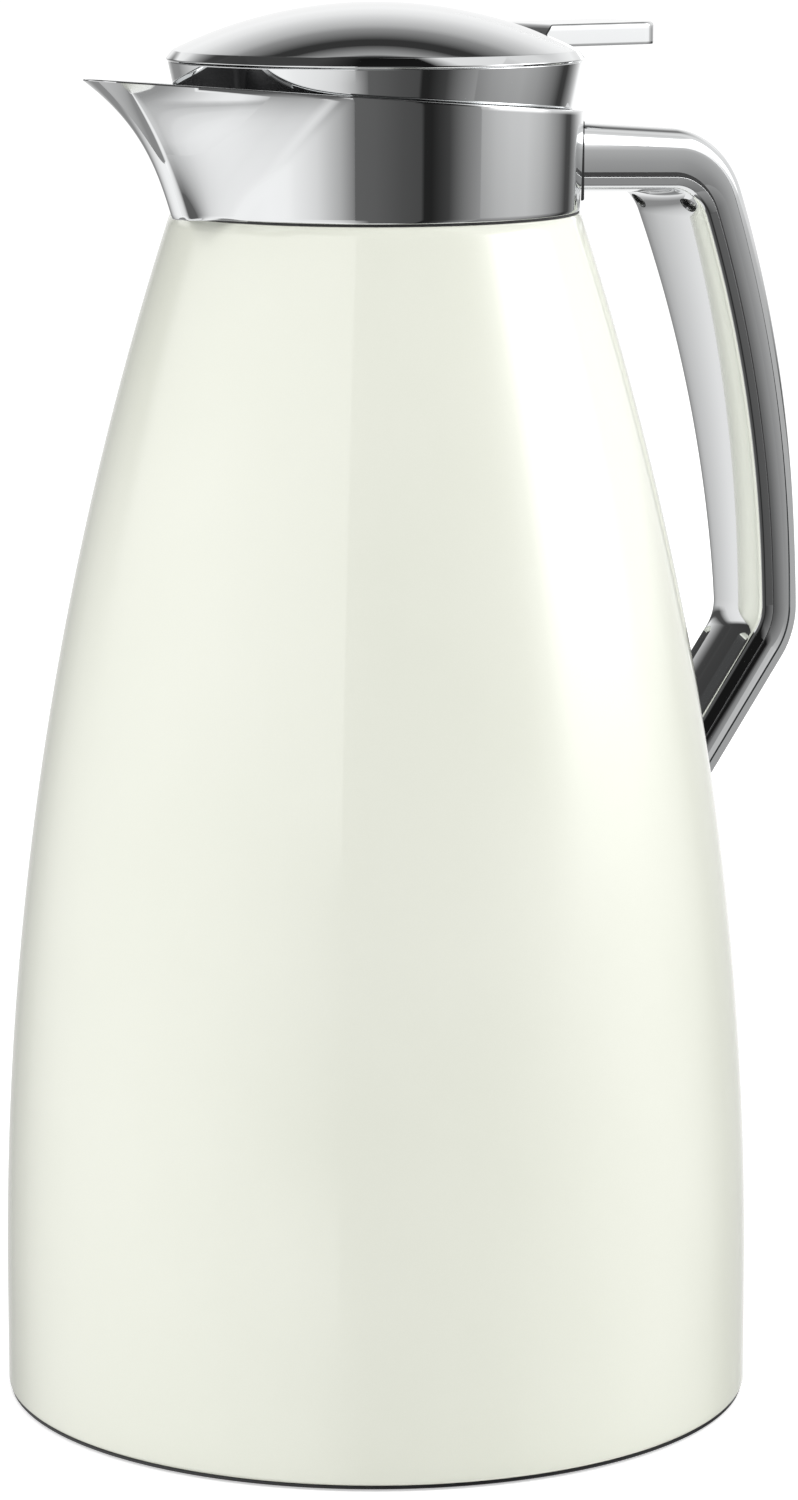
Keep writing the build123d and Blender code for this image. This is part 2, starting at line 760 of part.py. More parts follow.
# Lower pad: dark spacer between the handle's foot and the lacquer
with BuildPart() as lower_pad:
    with BuildSketch(Plane.XZ):
        with BuildLine():
            pad_middle = foot_plane.origin.Z - pad_sink
            pad_low, pad_top = pad_middle - pad_height / 2, pad_middle + pad_height / 2
            inner_side = ThreePointArc(*[(body_outline_radius(level, pad_clearance), level)
                                         for level in (pad_low, pad_middle, pad_top)])
            outer_side = ThreePointArc(*[(body_outline_radius(level, pad_outer), level)
                                         for level in (pad_low, pad_middle, pad_top)])
            Line(inner_side @ 0, outer_side @ 0)
            Line(inner_side @ 1, outer_side @ 1)
        make_face()
    revolve(axis=Axis.Z, revolution_arc=pad_half_angle)
    mirror(about=Plane.XZ)
    add(bracket_bar(screw_clearance), mode=Mode.SUBTRACT)
lower_pad.part.label = "lower_pad"
export_step(lower_pad.part, "parts/lower_pad.step")


def crown_height(radius, depth=0.0):
    """Height of the lid's crown at a radius, or of a surface that lies a depth under it."""
    return dome_top - dome_curve + sqrt((dome_curve - depth)**2 - radius**2)


slot_half = plate_half_width + slot_clearance
slot_step_x = plate_start - plate_rake - slot_clearance


def lever_slot():
    """Cutter for the lever's slot in the lid: as wide as the arm, then as wide as the plate."""
    with BuildPart() as cutter:
        with BuildSketch(Plane.XY.offset(notch_floor)):
            with Locations((slot_start_x + dome_radius / 2, 0)):
                Rectangle(dome_radius, 2 * (arm_half_width + slot_clearance))
            with Locations((slot_step_x + dome_radius / 2, 0)):
                Rectangle(dome_radius, 2 * slot_half)
        extrude(amount=dome_top - notch_floor)
    return cutter.part


# Lid dome: bright pressed cover with a slot at the back for the lever
with BuildPart() as lid_dome:
    with BuildSketch(Plane.XZ):
        with BuildLine():
            dome_inner = dome_radius - dome_wall
            ThreePointArc((0, dome_top), (dome_radius / 2, crown_height(dome_radius / 2)),
                          (dome_radius, crown_height(dome_radius)))
            Polyline((dome_radius, crown_height(dome_radius)), (dome_radius, dome_bottom),
                     (dome_inner, dome_bottom), (dome_inner, crown_height(dome_inner, dome_wall)))
            ThreePointArc((dome_inner, crown_height(dome_inner, dome_wall)),
                          (dome_inner / 2, crown_height(dome_inner / 2, dome_wall)), (0, dome_top - dome_wall))
            Line((0, dome_top - dome_wall), (0, dome_top))
        make_face()
    revolve(axis=Axis.Z)
    rim_edge = lid_dome.edges().filter_by_position(Axis.Z, crown_height(dome_radius) - root_clearance,
                                                   crown_height(dome_radius) + root_clearance)
    fillet(rim_edge, dome_edge_fillet)
    add(lever_slot(), mode=Mode.SUBTRACT)
lid_dome.part.label = "lid_dome"
export_step(lid_dome.part, "parts/lid_dome.step")

# Lid skirt: bright ring under the dome that dips into the collar, notched for the lever
with BuildPart() as lid_skirt:
    with BuildSketch(Plane.XZ):
        with BuildLine():
            Polyline((skirt_bottom_radius, skirt_bottom), (skirt_waist_radius, skirt_waist_height),
                     (skirt_top_radius, dome_bottom), (skirt_top_radius - skirt_wall, dome_bottom),
                     (skirt_waist_radius - skirt_wall, skirt_waist_height),
                     (skirt_bottom_radius - skirt_wall, skirt_bottom), close=True)
        make_face()
    revolve(axis=Axis.Z)
    add(lever_slot(), mode=Mode.SUBTRACT)
lid_skirt.part.label = "lid_skirt"
export_step(lid_skirt.part, "parts/lid_skirt.step")

bore_radius = plug_radius - tube_wall
port_top = stopper_bottom + port_floor

# Stopper body: plug in the neck, with the valve's port in its floor
with BuildPart() as stopper_body:
    with BuildSketch(Plane.XZ):
        with BuildLine():
            Polyline((port_radius, stopper_bottom), (plug_radius, stopper_bottom), (plug_radius, seal_top),
                     (tube_radius, seal_top), (tube_radius, window_low), (bore_radius, window_low),
                     (bore_radius, port_top), (port_radius, port_top), close=True)
        make_face()
    revolve(axis=Axis.Z)
stopper_body.part.label = "stopper_body"
export_step(stopper_body.part, "parts/stopper_body.step")

# Stopper cage: ring of posts above the seal, with the pouring windows between them
with BuildPart() as stopper_cage:
    with BuildSketch(Plane.XZ):
        add(ring(bore_radius, tube_radius, window_low, flange_bottom))
    revolve(axis=Axis.Z)
    with Locations((0, 0, window_low + window_height / 2)):
        with PolarLocations(tube_radius, window_count):
            Box(4 * tube_wall, window_width, window_height, mode=Mode.SUBTRACT)
stopper_cage.part.label = "stopper_cage"
export_step(stopper_cage.part, "parts/stopper_cage.step")

# Stopper flange: disc on the cage that carries the cover and fits inside the skirt
with BuildPart() as stopper_flange:
    with BuildSketch(Plane.XZ):
        add(ring(bore_radius, stopper_flange_radius, flange_bottom, flange_top))
    revolve(axis=Axis.Z)
    with BuildSketch(Plane.XY.offset(flange_bottom)):
        with PolarLocations(lid_screw_circle, lid_screw_count, start_angle=60):
            Circle(lid_screw_radius + root_clearance)
    extrude(amount=flange_thickness, mode=Mode.SUBTRACT)
stopper_flange.part.label = "stopper_flange"
export_step(stopper_flange.part, "parts/stopper_flange.step")

# Stopper seal: soft ring that closes on the insert's seat
with BuildPart() as stopper_seal:
    with BuildSketch(Plane.XZ):
        add(ring(plug_radius, tube_radius + seal_overhang, seal_bottom, seal_top))
    revolve(axis=Axis.Z)
stopper_seal.part.label = "stopper_seal"
export_step(stopper_seal.part, "parts/stopper_seal.step")

ear_inner = arm_half_width + ear_clearance

# Stopper cover: closes the stopper, guides the valve stem and carries the lever's pin in two ears
with BuildPart() as stopper_cover:
    with BuildSketch(Plane.XZ):
        guide = stem_radius + guide_clearance
        add(ring(guide, cover_radius, flange_top, cover_top))
        add(ring(guide, boss_radius, flange_top - boss_depth, flange_top))
    revolve(axis=Axis.Z)
    with BuildSketch(Plane.XZ.offset(ear_inner)):
        with BuildLine():
            ear = hub_radius + ear_clearance
            ThreePointArc((pivot_x + ear, pivot_height), (pivot_x, pivot_height + ear), (pivot_x - ear, pivot_height))
            Polyline((pivot_x - ear, pivot_height), (pivot_x - ear, cover_top - cover_thickness / 2),
                     (pivot_x + ear, cover_top - cover_thickness / 2), (pivot_x + ear, pivot_height))
        make_face()
        with Locations((pivot_x, pivot_height)):
            Circle(pin_radius + pin_clearance, mode=Mode.SUBTRACT)
    extrude(amount=ear_thickness)
    mirror(about=Plane.XZ)
    with BuildSketch(Plane.XY.offset(flange_top)):
        with PolarLocations(lid_screw_circle, lid_screw_count, start_angle=60):
            Circle(lid_screw_radius + screw_clearance)
    extrude(amount=cover_thickness, mode=Mode.SUBTRACT)
stopper_cover.part.label = "stopper_cover"
export_step(stopper_cover.part, "parts/stopper_cover.step")

# Lid screws: hold the cover on the stopper's flange
with BuildPart() as lid_screws:
    with BuildSketch(Plane.XY.offset(flange_bottom)):
        with PolarLocations(lid_screw_circle, lid_screw_count, start_angle=60):
            Circle(lid_screw_radius)
    extrude(amount=flange_thickness + cover_thickness)
    with BuildSketch(Plane.XY.offset(cover_top)):
        with PolarLocations(lid_screw_circle, lid_screw_count, start_angle=60):
            Circle(lid_screw_head)
    extrude(amount=lid_screw_head_height)
lid_screws.part.label = "lid_screws"
export_step(lid_screws.part, "parts/lid_screws.step")

fork_top = pivot_height + fork_thickness / 2
fork_bottom = pivot_height - fork_thickness / 2
disc_bottom = port_top + valve_seal_gap + valve_seal_height
disc_top = disc_bottom + valve_disc_height
head_bottom = fork_top + head_gap

# Valve stem: disc over the port, rod through the cover and a head that the lever lifts
with BuildPart() as valve_stem:
    with BuildSketch(Plane.XZ):
        add(ring(0, valve_disc_radius, disc_bottom, disc_top))
        add(ring(0, stem_radius, disc_bottom, head_bottom + stem_head_height))
        add(ring(0, stem_head_radius, head_bottom, head_bottom + stem_head_height))
    revolve(axis=Axis.Z)
valve_stem.part.label = "valve_stem"
export_step(valve_stem.part, "parts/valve_stem.step")

# Valve seal: soft ring under the disc
with BuildPart() as valve_seal:
    with BuildSketch(Plane.XZ):
        add(ring(valve_disc_radius - valve_seal_width, valve_disc_radius, port_top + valve_seal_gap, disc_bottom))
    revolve(axis=Axis.Z)
valve_seal.part.label = "valve_seal"
export_step(valve_seal.part, "parts/valve_seal.step")

# Valve spring: closes the valve, between the disc and the cover's boss
with BuildPart() as valve_spring:
    spring_height = flange_top - boss_depth - disc_top - 2 * spring_wire - 2 * root_clearance
    with BuildLine():
        coil = Helix(spring_height / spring_turns, spring_height, spring_radius,
                     center=(0, 0, disc_top + spring_wire + root_clearance))
    with BuildSketch(Plane(origin=coil @ 0, z_dir=coil % 0)):
        RegularPolygon(spring_wire, spring_wire_sides)
    sweep(is_frenet=True)
valve_spring.part.label = "valve_spring"
export_step(valve_spring.part, "parts/valve_spring.step")

tongue_low = plate_low + tongue_clearance
tongue_top = plate_top - plate_wall - tongue_clearance
tongue_end = plate_end - plate_corner

# Thumb lever: fork under the stem's head, hub on the pin and a tongue that comes out through the dome's slot
with BuildPart() as thumb_lever:
    with BuildSketch(Plane.XZ):
        with BuildLine():
            Polyline((-fork_tip, fork_bottom), (pivot_x - hub_radius, fork_bottom),
                     (pivot_x + hub_radius, fork_bottom), (slot_start_x + hub_radius, tongue_low),
                     (tongue_end, tongue_low), (tongue_end, tongue_top), (slot_start_x + hub_radius / 2, tongue_top),
                     (pivot_x, pivot_height + hub_radius), (pivot_x - hub_radius, fork_top),
                     (-fork_tip, fork_top), close=True)
        make_face()
        with Locations((pivot_x, pivot_height)):
            Circle(hub_radius)
            Circle(pin_radius + pin_clearance, mode=Mode.SUBTRACT)
    extrude(amount=arm_half_width, both=True)
    with BuildSketch(Plane.XY.offset(fork_bottom)):
        SlotCenterToCenter(2 * stem_radius, 2 * (stem_radius + fork_clearance))
    extrude(amount=fork_thickness, mode=Mode.SUBTRACT)
thumb_lever.part.label = "thumb_lever"
export_step(thumb_lever.part, "parts/thumb_lever.step")

# Lever plate: bright cap over the tongue, where the thumb presses
with BuildPart() as lever_plate:
    with BuildSketch(Plane.XZ):
        with BuildLine():
            Polyline((plate_start, plate_top), (plate_end, plate_top), (plate_end, plate_low),
                     (plate_start - plate_rake, plate_low), close=True)
        make_face()
    extrude(amount=plate_half_width, both=True)
    fillet(lever_plate.edges().filter_by(Axis.Z).group_by(Axis.X)[-1], plate_corner)
    fillet(lever_plate.faces().sort_by(Axis.Z)[-1].edges(), plate_edge)
    with BuildSketch(Plane.XY.offset(plate_low)):
        with Locations((tongue_end / 2 + tongue_clearance, 0)):
            Rectangle(tongue_end, 2 * (arm_half_width + tongue_clearance))
    extrude(amount=plate_height - plate_wall, mode=Mode.SUBTRACT)
lever_plate.part.label = "lever_plate"
export_step(lever_plate.part, "parts/lever_plate.step")

# Lever pin: steel axle through the ears and the hub
with BuildPart() as lever_pin:
    with BuildSketch(Plane.XZ.offset(-(ear_inner + ear_thickness))):
        with Locations((pivot_x, pivot_height)):
            Circle(pin_radius)
    extrude(amount=2 * (ear_inner + ear_thickness))
lever_pin.part.label = "lever_pin"
export_step(lever_pin.part, "parts/lever_pin.step")
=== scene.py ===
"""Looks for the insulated serving jug: lacquered body, mirror-bright head, handle and lid, in a pale studio.

Sizes are in millimetres where they repeat the part's own, and every mesh is made in metres.
"""

import json
from math import acos, cos, hypot, pi, radians, sin, sqrt

import bmesh
import bpy
import numpy as np
from mathutils import Matrix, Vector
from mathutils.bvhtree import BVHTree


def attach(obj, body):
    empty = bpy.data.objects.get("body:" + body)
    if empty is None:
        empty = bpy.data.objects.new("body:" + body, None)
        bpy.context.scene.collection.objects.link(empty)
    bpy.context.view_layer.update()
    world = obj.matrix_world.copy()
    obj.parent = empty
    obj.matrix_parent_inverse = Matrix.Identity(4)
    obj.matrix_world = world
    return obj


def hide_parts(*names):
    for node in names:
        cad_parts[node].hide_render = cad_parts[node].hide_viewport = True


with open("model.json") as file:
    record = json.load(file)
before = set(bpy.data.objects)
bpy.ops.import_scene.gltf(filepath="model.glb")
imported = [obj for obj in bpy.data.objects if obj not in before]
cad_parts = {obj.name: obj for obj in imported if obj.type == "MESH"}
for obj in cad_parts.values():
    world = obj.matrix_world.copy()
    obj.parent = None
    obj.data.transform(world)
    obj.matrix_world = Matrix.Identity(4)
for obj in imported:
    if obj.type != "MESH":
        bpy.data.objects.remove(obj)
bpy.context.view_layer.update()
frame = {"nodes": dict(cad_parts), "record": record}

nodes = frame["nodes"]
scene = bpy.context.scene
scene.view_settings.view_transform = "Standard"

# Body and base
base_radius, base_straight = 75.0, 22.0
seam_height, seam_radius = 237.6, 40.3
shell_lift, shell_wall, flange_width, hem_width, seam_round, hem_round = 1.1, 1.0, 5.8, 3.0, 0.5, 0.9
cap_lift, recess_depth, cap_floor, recess_radius = 0.4, 1.4, 1.8, 56.0
foot_inner, foot_outer, foot_height = 60.0, 70.0, 1.6
cap_outer, cap_hem, cap_wall, cap_height = 74.6, 71.8, 2.0, 9.0
recess_round, cap_edge_round, cap_wall_round = 0.5, 0.3, 0.4

# Collar and spout
collar_bottom, collar_floor_top, collar_hole = 238.0, 239.9, 33.6
# The third of these is how far below the rim the black sheet of painted shade inside the head stops
collar_wall, plated_wall, shade_sheet_drop, collar_flare = 1.1, 0.85, 0.8, 0.75
collar_foot_edge, collar_floor_edge = 0.25, 0.8
rim_centre_height, rim_slope, rim_round = 259.95, 0.080, 0.35
spout_foot, spout_overhang, spout_lip_height = 6.7, 25.0, 265.2
spout_lean, spout_curl, spout_start_drop = 0.49, -0.055, 0.6
spout_nose_low, spout_nose_high, spout_valley, spout_valley_growth = 3.6, 7.6, 15.0, 28.0

# Saddle
saddle_thickness, saddle_foot, saddle_top, saddle_chamfer, saddle_half_angle = 2.4, 238.8, 255.8, 1.4, 19.0
saddle_outer = seam_radius + collar_flare + saddle_thickness
saddle_seat, saddle_round, saddle_top_round = 0.05, 0.4, 0.3

# Handle
handle_root, parting_height, arm_slope, arm_length = 43.5, 243.6, -2.2, 23.2
parting_bends = ((12.5, 65.2), (253.0, 19.4), (11.1, 42.6))
back_height, back_slope, back_length = 253.9, -4.5, 24.7
back_bends = ((20.5, 62.7), (243.4, 21.4), (16.5, 40.7))
root_overlap, tail_length, grip_depth, foot_gap, root_gap = 8.0, 46.0, 3.9, 1.35, 0.05
handle_top_half, handle_low_half, taper_top, taper_low, taper_bend = 12.0, 8.4, 240.0, 150.0, 600.0
back_fillet, grip_fillet, parting_gap = 4.0, 1.8, 0.4
flank_swell, back_swell, tuck_depth, tuck_reach = 0.3, 0.1, 0.9, 5.5
grip_crown, grip_draft, grip_flat_share = 1.1, 0.45, 0.78
strip_inset, strip_overlap, strip_end_gap = 0.55, 0.2, 0.1
screw_hole_radius, screw_hole_turn, screw_hole_spread, screw_hole_depth = 1.9, 46.0, 8.0, 2.7
slot_half_width, slot_length, slot_start, slot_depth, slot_spread = 1.45, 26.0, 0.5, 1.4, 5.9
plug_radius, plug_wall, plug_low, plug_floor, plug_rim_drop = screw_hole_radius - 0.02, 0.2, 0.05, 0.5, 0.9
plug_pip = ((0.5, 0.0), (0.42, 0.3), (0.0, 0.42))
cutter_overshoot = 2.0

# Lid
dome_top, dome_curve, dome_radius, dome_bottom, dome_wall, dome_band = 278.4, 90.0, 41.0, 267.2, 1.1, 1.4
dome_corner, dome_edge_rounds = 0.35, (0.25, 0.1)
skirt_rings = ((37.6, 253.0), (40.6, 267.2))
skirt_wall, skirt_round = 1.4, 0.25
lever_slots = ((29.0, 8.6), (32.0, 10.6))
slot_floor, slot_end, slot_top = 264.4, 60.0, 290.0

# Lever plate
plate_start, plate_rake, plate_end, plate_half, plate_low, plate_top = 36.0, 3.4, 64.5, 10.0, 269.0, 273.5
plate_corner, plate_edge, plate_wall, plate_hollow_start, plate_hollow_half = 5.0, 0.8, 1.5, 20.0, 8.1
plate_inner_corner, plate_side_start, plate_hollow_reach = 0.3, 0.6, 0.1
plate_foot_layers, plate_top_layers = ((0, 0.25), (0.07, 0.08), (0.25, 0)), (1.6, 3.0, 4.6)

# Steps round a turned piece, and how near in metres a cut face and its corners lie to the old face they belong to
around, same_face, same_point = 288, 3e-6, 4e-6

# Camera, in metres and degrees: where it stands, how it looks down and aside, and its lens in pixels of the picture
camera_reach, camera_height, view_turn, look_down, look_aside = 0.999, 0.3114, 36.0, 10.29, 0.267
focal_pixels, picture_rows, sensor_height = 5069, 1500, 36.0


def mm(values):
    """Millimetres as metres."""
    return np.asarray(values, float) / 1000


def body_radius(height, grow=0.0):
    """Radius of the shell's long curve at a height, or of a skin outside it."""
    rise, run = seam_height - base_straight, base_radius - seam_radius
    arc_radius = (rise**2 + run**2) / (2 * run)
    above = max(0.0, height - base_straight)
    return base_radius + grow - (arc_radius - sqrt(arc_radius**2 - above**2))


def placed(name, data):
    """New object in the scene that holds a mesh, a lamp or a camera."""
    item = bpy.data.objects.new(name, data)
    scene.collection.objects.link(item)
    return item


def mesh_piece(name, vertices, faces, sharp_angle=40):
    """Closed mesh with doubles merged, faces outwards and smooth shading between sharp edges."""
    mesh = bpy.data.meshes.new(name)
    mesh.from_pydata([tuple(v) for v in vertices], [], [tuple(f) for f in faces])
    work = bmesh.new()
    work.from_mesh(mesh)
    bmesh.ops.remove_doubles(work, verts=work.verts, dist=2e-6)
    bmesh.ops.dissolve_degenerate(work, dist=1e-7, edges=work.edges)
    bmesh.ops.recalc_face_normals(work, faces=work.faces)
    work.to_mesh(mesh)
    work.free()
    mesh.shade_smooth()
    mesh.set_sharp_from_angle(angle=radians(sharp_angle))
    return placed(name, mesh)


def grid_faces(rows, columns, closed_rows=False, closed_columns=False):
    """Quads of a grid whose vertices are numbered row by row."""
    faces = []
    for r in range(rows if closed_rows else rows - 1):
        for c in range(columns if closed_columns else columns - 1):
            r2, c2 = (r + 1) % rows, (c + 1) % columns
            faces.append((r * columns + c, r * columns + c2, r2 * columns + c2, r2 * columns + c))
    return faces


def capped_faces(rows, size):
    """Quads of a tube of closed rows, with a face at each end."""
    ends = [tuple(range(size)), tuple(range((rows - 1) * size, rows * size))]
    return grid_faces(rows, size, False, True) + ends


def rounded_corners(corners, steps=6):
    """Outline through (x, y, radius) corners, each corner rounded by an arc of its radius."""
    points = []
    count = len(corners)
    for i, (x, y, radius) in enumerate(corners):
        here = np.array((x, y), float)
        if radius <= 0:
            points.append(here)
            continue
        before = np.array(corners[i - 1][:2], float) - here
        after = np.array(corners[(i + 1) % count][:2], float) - here
        before, after = before / np.linalg.norm(before), after / np.linalg.norm(after)
        half = acos(max(-1, min(1, float(before @ after)))) / 2
        if half > pi / 2 - 0.01:
            points.append(here)
            continue
        reach = radius / np.tan(half)
        middle = (before + after) / np.linalg.norm(before + after) * radius / sin(half)
        start, end = before * reach - middle, after * reach - middle
        turn = acos(max(-1, min(1, float(start @ end) / radius**2)))
        for step in range(steps + 1):
            share = step / steps
            arm = (start * sin((1 - share) * turn) + end * sin(share * turn)) / sin(turn)
            points.append(here + middle + arm)
    return points


def turned(name, profile, sharp_angle=40, count=around):
    """Closed (radius, height) profile turned round the jug's axis."""
    profile = np.asarray(profile, float)
    angles = np.arange(count) * 2 * pi / count
    ring = np.stack([np.outer(profile[:, 0], np.cos(angles)), np.outer(profile[:, 0], np.sin(angles)),
                     np.repeat(profile[:, 1:2], count, 1)], -1)
    return mesh_piece(name, mm(ring.reshape(-1, 3)), grid_faces(len(profile), count, True, True), sharp_angle)


def bake(piece):
    """Makes the result of a piece's modifiers its plain mesh."""
    graph = bpy.context.evaluated_depsgraph_get()
    mesh = bpy.data.meshes.new_from_object(piece.evaluated_get(graph), depsgraph=graph)
    piece.modifiers.clear()
    piece.data = mesh
    return mesh


def flat_faced(piece):
    """Normals that follow the larger faces, so that flat sides stay flat up to their rounded edges."""
    step = piece.modifiers.new("weighting", "WEIGHTED_NORMAL")
    step.mode, step.weight, step.keep_sharp = "FACE_AREA", 60, True
    bake(piece)
    return piece


def cut(piece, cutters):
    """Takes the cutters out of a piece and keeps its smooth shading on what is left of the old faces."""
    old = piece.data.copy()
    old.calc_loop_triangles()
    corners = [v.co.copy() for v in old.vertices]
    loop_normals = [Vector(n.vector) for n in old.corner_normals]
    triangles = [(tuple(t.vertices), tuple(t.loops)) for t in old.loop_triangles]
    tree = BVHTree.FromPolygons(corners, [t[0] for t in triangles])
    for cutter in cutters:
        step = piece.modifiers.new("cut", "BOOLEAN")
        step.operation, step.solver, step.object = "DIFFERENCE", "EXACT", cutter
    new = bake(piece)
    for cutter in cutters:
        bpy.data.objects.remove(cutter)
    normals = [(0.0, 0.0, 1.0)] * len(new.loops)
    for face in new.polygons:
        kept = tree.find_nearest(face.center, same_face)[0] is not None
        for loop in face.loop_indices:
            best, agreement = face.normal, 0.8
            point = new.vertices[new.loops[loop].vertex_index].co
            for _, _, found, _ in tree.find_nearest_range(point, same_point) if kept else ():
                vertices, loops = triangles[found]
                shares = barycentric(point, *(corners[k] for k in vertices))
                blended = sum((loop_normals[k] * share for k, share in zip(loops, shares)), Vector((0, 0, 0)))
                if blended.length > 0 and blended.normalized().dot(face.normal) > agreement:
                    best, agreement = blended.normalized(), blended.normalized().dot(face.normal)
            normals[loop] = tuple(best)
    new.shade_smooth()
    new.normals_split_custom_set(normals)


def barycentric(point, a, b, c):
    """Shares of a triangle's corners in a point."""
    ab, ac, ap = b - a, c - a, point - a
    d00, d01, d11, d20, d21 = ab.dot(ab), ab.dot(ac), ac.dot(ac), ap.dot(ab), ap.dot(ac)
    scale = d00 * d11 - d01 * d01
    if abs(scale) < 1e-24:
        return 1.0, 0.0, 0.0
    v = max(0.0, min(1.0, (d11 * d20 - d01 * d21) / scale))
    w = max(0.0, min(1.0 - v, (d00 * d21 - d01 * d20) / scale))
    return 1 - v - w, v, w


def block(name, low, high):
    """Plain box cutter between two corners, in millimetres."""
    x, y, z = zip(low, high)
    vertices = mm([(x[i], y[j], z[k]) for i in (0, 1) for j in (0, 1) for k in (0, 1)])
    faces = [(0, 1, 3, 2), (4, 6, 7, 5), (0, 4, 5, 1), (2, 3, 7, 6), (0, 2, 6, 4), (1, 5, 7, 3)]
    return mesh_piece(name, vertices, faces)


def peg(name, plane, outline, low, high):
    """Cutter with an outline in a plane (origin, across, along, normal), from one depth to another."""
    origin, across, along, normal = plane
    vertices = []
    for depth in (low, high):
        for u, v in outline:
            vertices.append(origin + across * u + along * v + normal * depth)
    count = len(outline)
    faces = [(i, (i + 1) % count, count + (i + 1) % count, count + i) for i in range(count)]
    faces += [tuple(range(count)), tuple(range(2 * count - 1, count - 1, -1))]
    return mesh_piece(name, mm(vertices), faces)


def circle(radius, centre, count=40):
    """Outline of a round hole."""
    return [(centre[0] + radius * cos(a), centre[1] + radius * sin(a)) for a in np.arange(count) * 2 * pi / count]


def long_hole(half_width, length, centre, steps=12):
    """Outline of a slot with round ends that runs along the second direction."""
    reach = length / 2 - half_width
    top = [(half_width * cos(a), reach + half_width * sin(a)) for a in np.linspace(0, pi, steps)]
    bottom = [(half_width * cos(a), -reach + half_width * sin(a)) for a in np.linspace(pi, 2 * pi, steps)]
    return [(centre[0] + x, centre[1] + y) for x, y in top + bottom]


# Lacquered body: one skin from the hem up its long curve to the flange under the collar
def body_profile():
    """Closed outline of the shell: outside, flange, inside, hem and the short upright at the foot."""
    outer = [(body_radius(h), h) for h in np.linspace(base_straight, seam_height - seam_round, 120)]
    shoulder = [(seam_radius - seam_round + seam_round * cos(a), seam_height - seam_round + seam_round * sin(a))
                for a in np.linspace(0.15, pi / 2, 6)]
    flange = [(seam_radius - flange_width, seam_height), (seam_radius - flange_width, seam_height - shell_wall)]
    inner = [(body_radius(h) - shell_wall, h) for h in np.linspace(seam_height - shell_wall, base_straight, 60)]
    hem = [(base_radius - shell_wall, shell_lift + shell_wall), (base_radius - hem_width, shell_lift + shell_wall),
           (base_radius - hem_width, shell_lift)]
    roll = [(base_radius - hem_round + hem_round * cos(a), shell_lift + hem_round + hem_round * sin(a))
            for a in np.linspace(-pi / 2, 0, 8)]
    foot = [(base_radius, h) for h in np.linspace(shell_lift + 2, base_straight, 8)[:-1]]
    return outer + shoulder + flange + inner + hem + roll + foot


body = turned("lacquered_body", body_profile(), 50)

# Cap that closes the shell, with a recess under it and a groove for the foot ring
cap_top = cap_lift + recess_depth + cap_floor
base_cap = turned("base_closing_cap", rounded_corners([
    (0, cap_lift + recess_depth, 0), (recess_radius, cap_lift + recess_depth, recess_round),
    (recess_radius + recess_depth, cap_lift, recess_round), (foot_inner, cap_lift, 0), (foot_inner, foot_height, 0),
    (foot_outer, foot_height, 0), (foot_outer, cap_lift, 0), (cap_outer, cap_lift, cap_edge_round),
    (cap_outer, shell_lift, 0), (cap_hem, shell_lift, 0), (cap_hem, cap_height, cap_wall_round),
    (cap_hem - cap_wall, cap_height, cap_wall_round), (cap_hem - cap_wall, cap_top, 0), (0, cap_top, 0)], 5))


# Collar and spout
def head_rise(height):
    """Share of the way from just under the collar's foot to the spout's lip."""
    return (height - collar_bottom + spout_start_drop) / (spout_lip_height - collar_bottom)


def head_outline(height, inset, back_steps=120, flank_steps=30, nose_steps=30):
    """Half outline of the head from the back round to the nose: round collar, hollow flank, narrow round nose."""
    rise = head_rise(height)
    growth = spout_lean * rise + spout_curl * rise**2 + (1 - spout_lean - spout_curl) * rise**3
    collar = seam_radius + collar_flare * min(rise, 1.0)
    nose = spout_nose_low + (spout_nose_high - spout_nose_low) * rise**3
    reach = collar + spout_foot + (spout_overhang - spout_foot) * growth - nose
    valley = spout_valley * spout_valley_growth**rise
    lean = acos(((collar + valley) ** 2 + reach**2 - (nose + valley) ** 2) / (2 * (collar + valley) * reach))
    turn = acos(((collar + valley) ** 2 - reach**2 - (nose + valley) ** 2) / (2 * (nose + valley) * reach))
    centre = (-(collar + valley) * cos(lean), (collar + valley) * sin(lean))
    collar, nose, valley = collar - inset, nose - inset, valley + inset
    back = [(collar * cos(a), collar * sin(a)) for a in np.linspace(0, pi - lean, back_steps)]
    flank = [(centre[0] + valley * cos(a), centre[1] - valley * sin(a))
             for a in np.linspace(lean, turn, flank_steps)[1:-1]]
    tip = [(-reach - nose * cos(a), nose * sin(a)) for a in np.linspace(turn, 0, nose_steps)]
    return np.array(back + flank + tip)


def rim_heights(inset):
    """Height at which each line of the head's wall meets the sloping rim."""
    heights = np.full(len(head_outline(collar_bottom, inset)), rim_centre_height)
    for _ in range(12):
        across = np.array([head_outline(h, inset)[i][0] for i, h in enumerate(heights)])
        heights = 0.5 * heights + 0.5 * (rim_centre_height - rim_slope * across)
    return heights


def head_wall(inset, low, high, rows):
    """Rows of points up the head's wall, from a low height to each line's own top."""
    wall = []
    for share in np.linspace(0, 1, rows):
        heights = low + (high - low) * share
        row = np.array([head_outline(h, inset)[i] for i, h in enumerate(heights)])
        wall.append(np.column_stack([row, heights]))
    return wall


def both_sides(row):
    """Half row completed with its mirror image, without doubling the points on the middle line."""
    return np.vstack([row, (row * (1, -1, 1))[-2:0:-1]])


def narrowed(row, amount, height):
    """Copy of a row drawn in a little towards the axis, at one height."""
    edge = row.copy()
    edge[:, :2] *= 1 - amount / seam_radius
    edge[:, 2] = height
    return edge


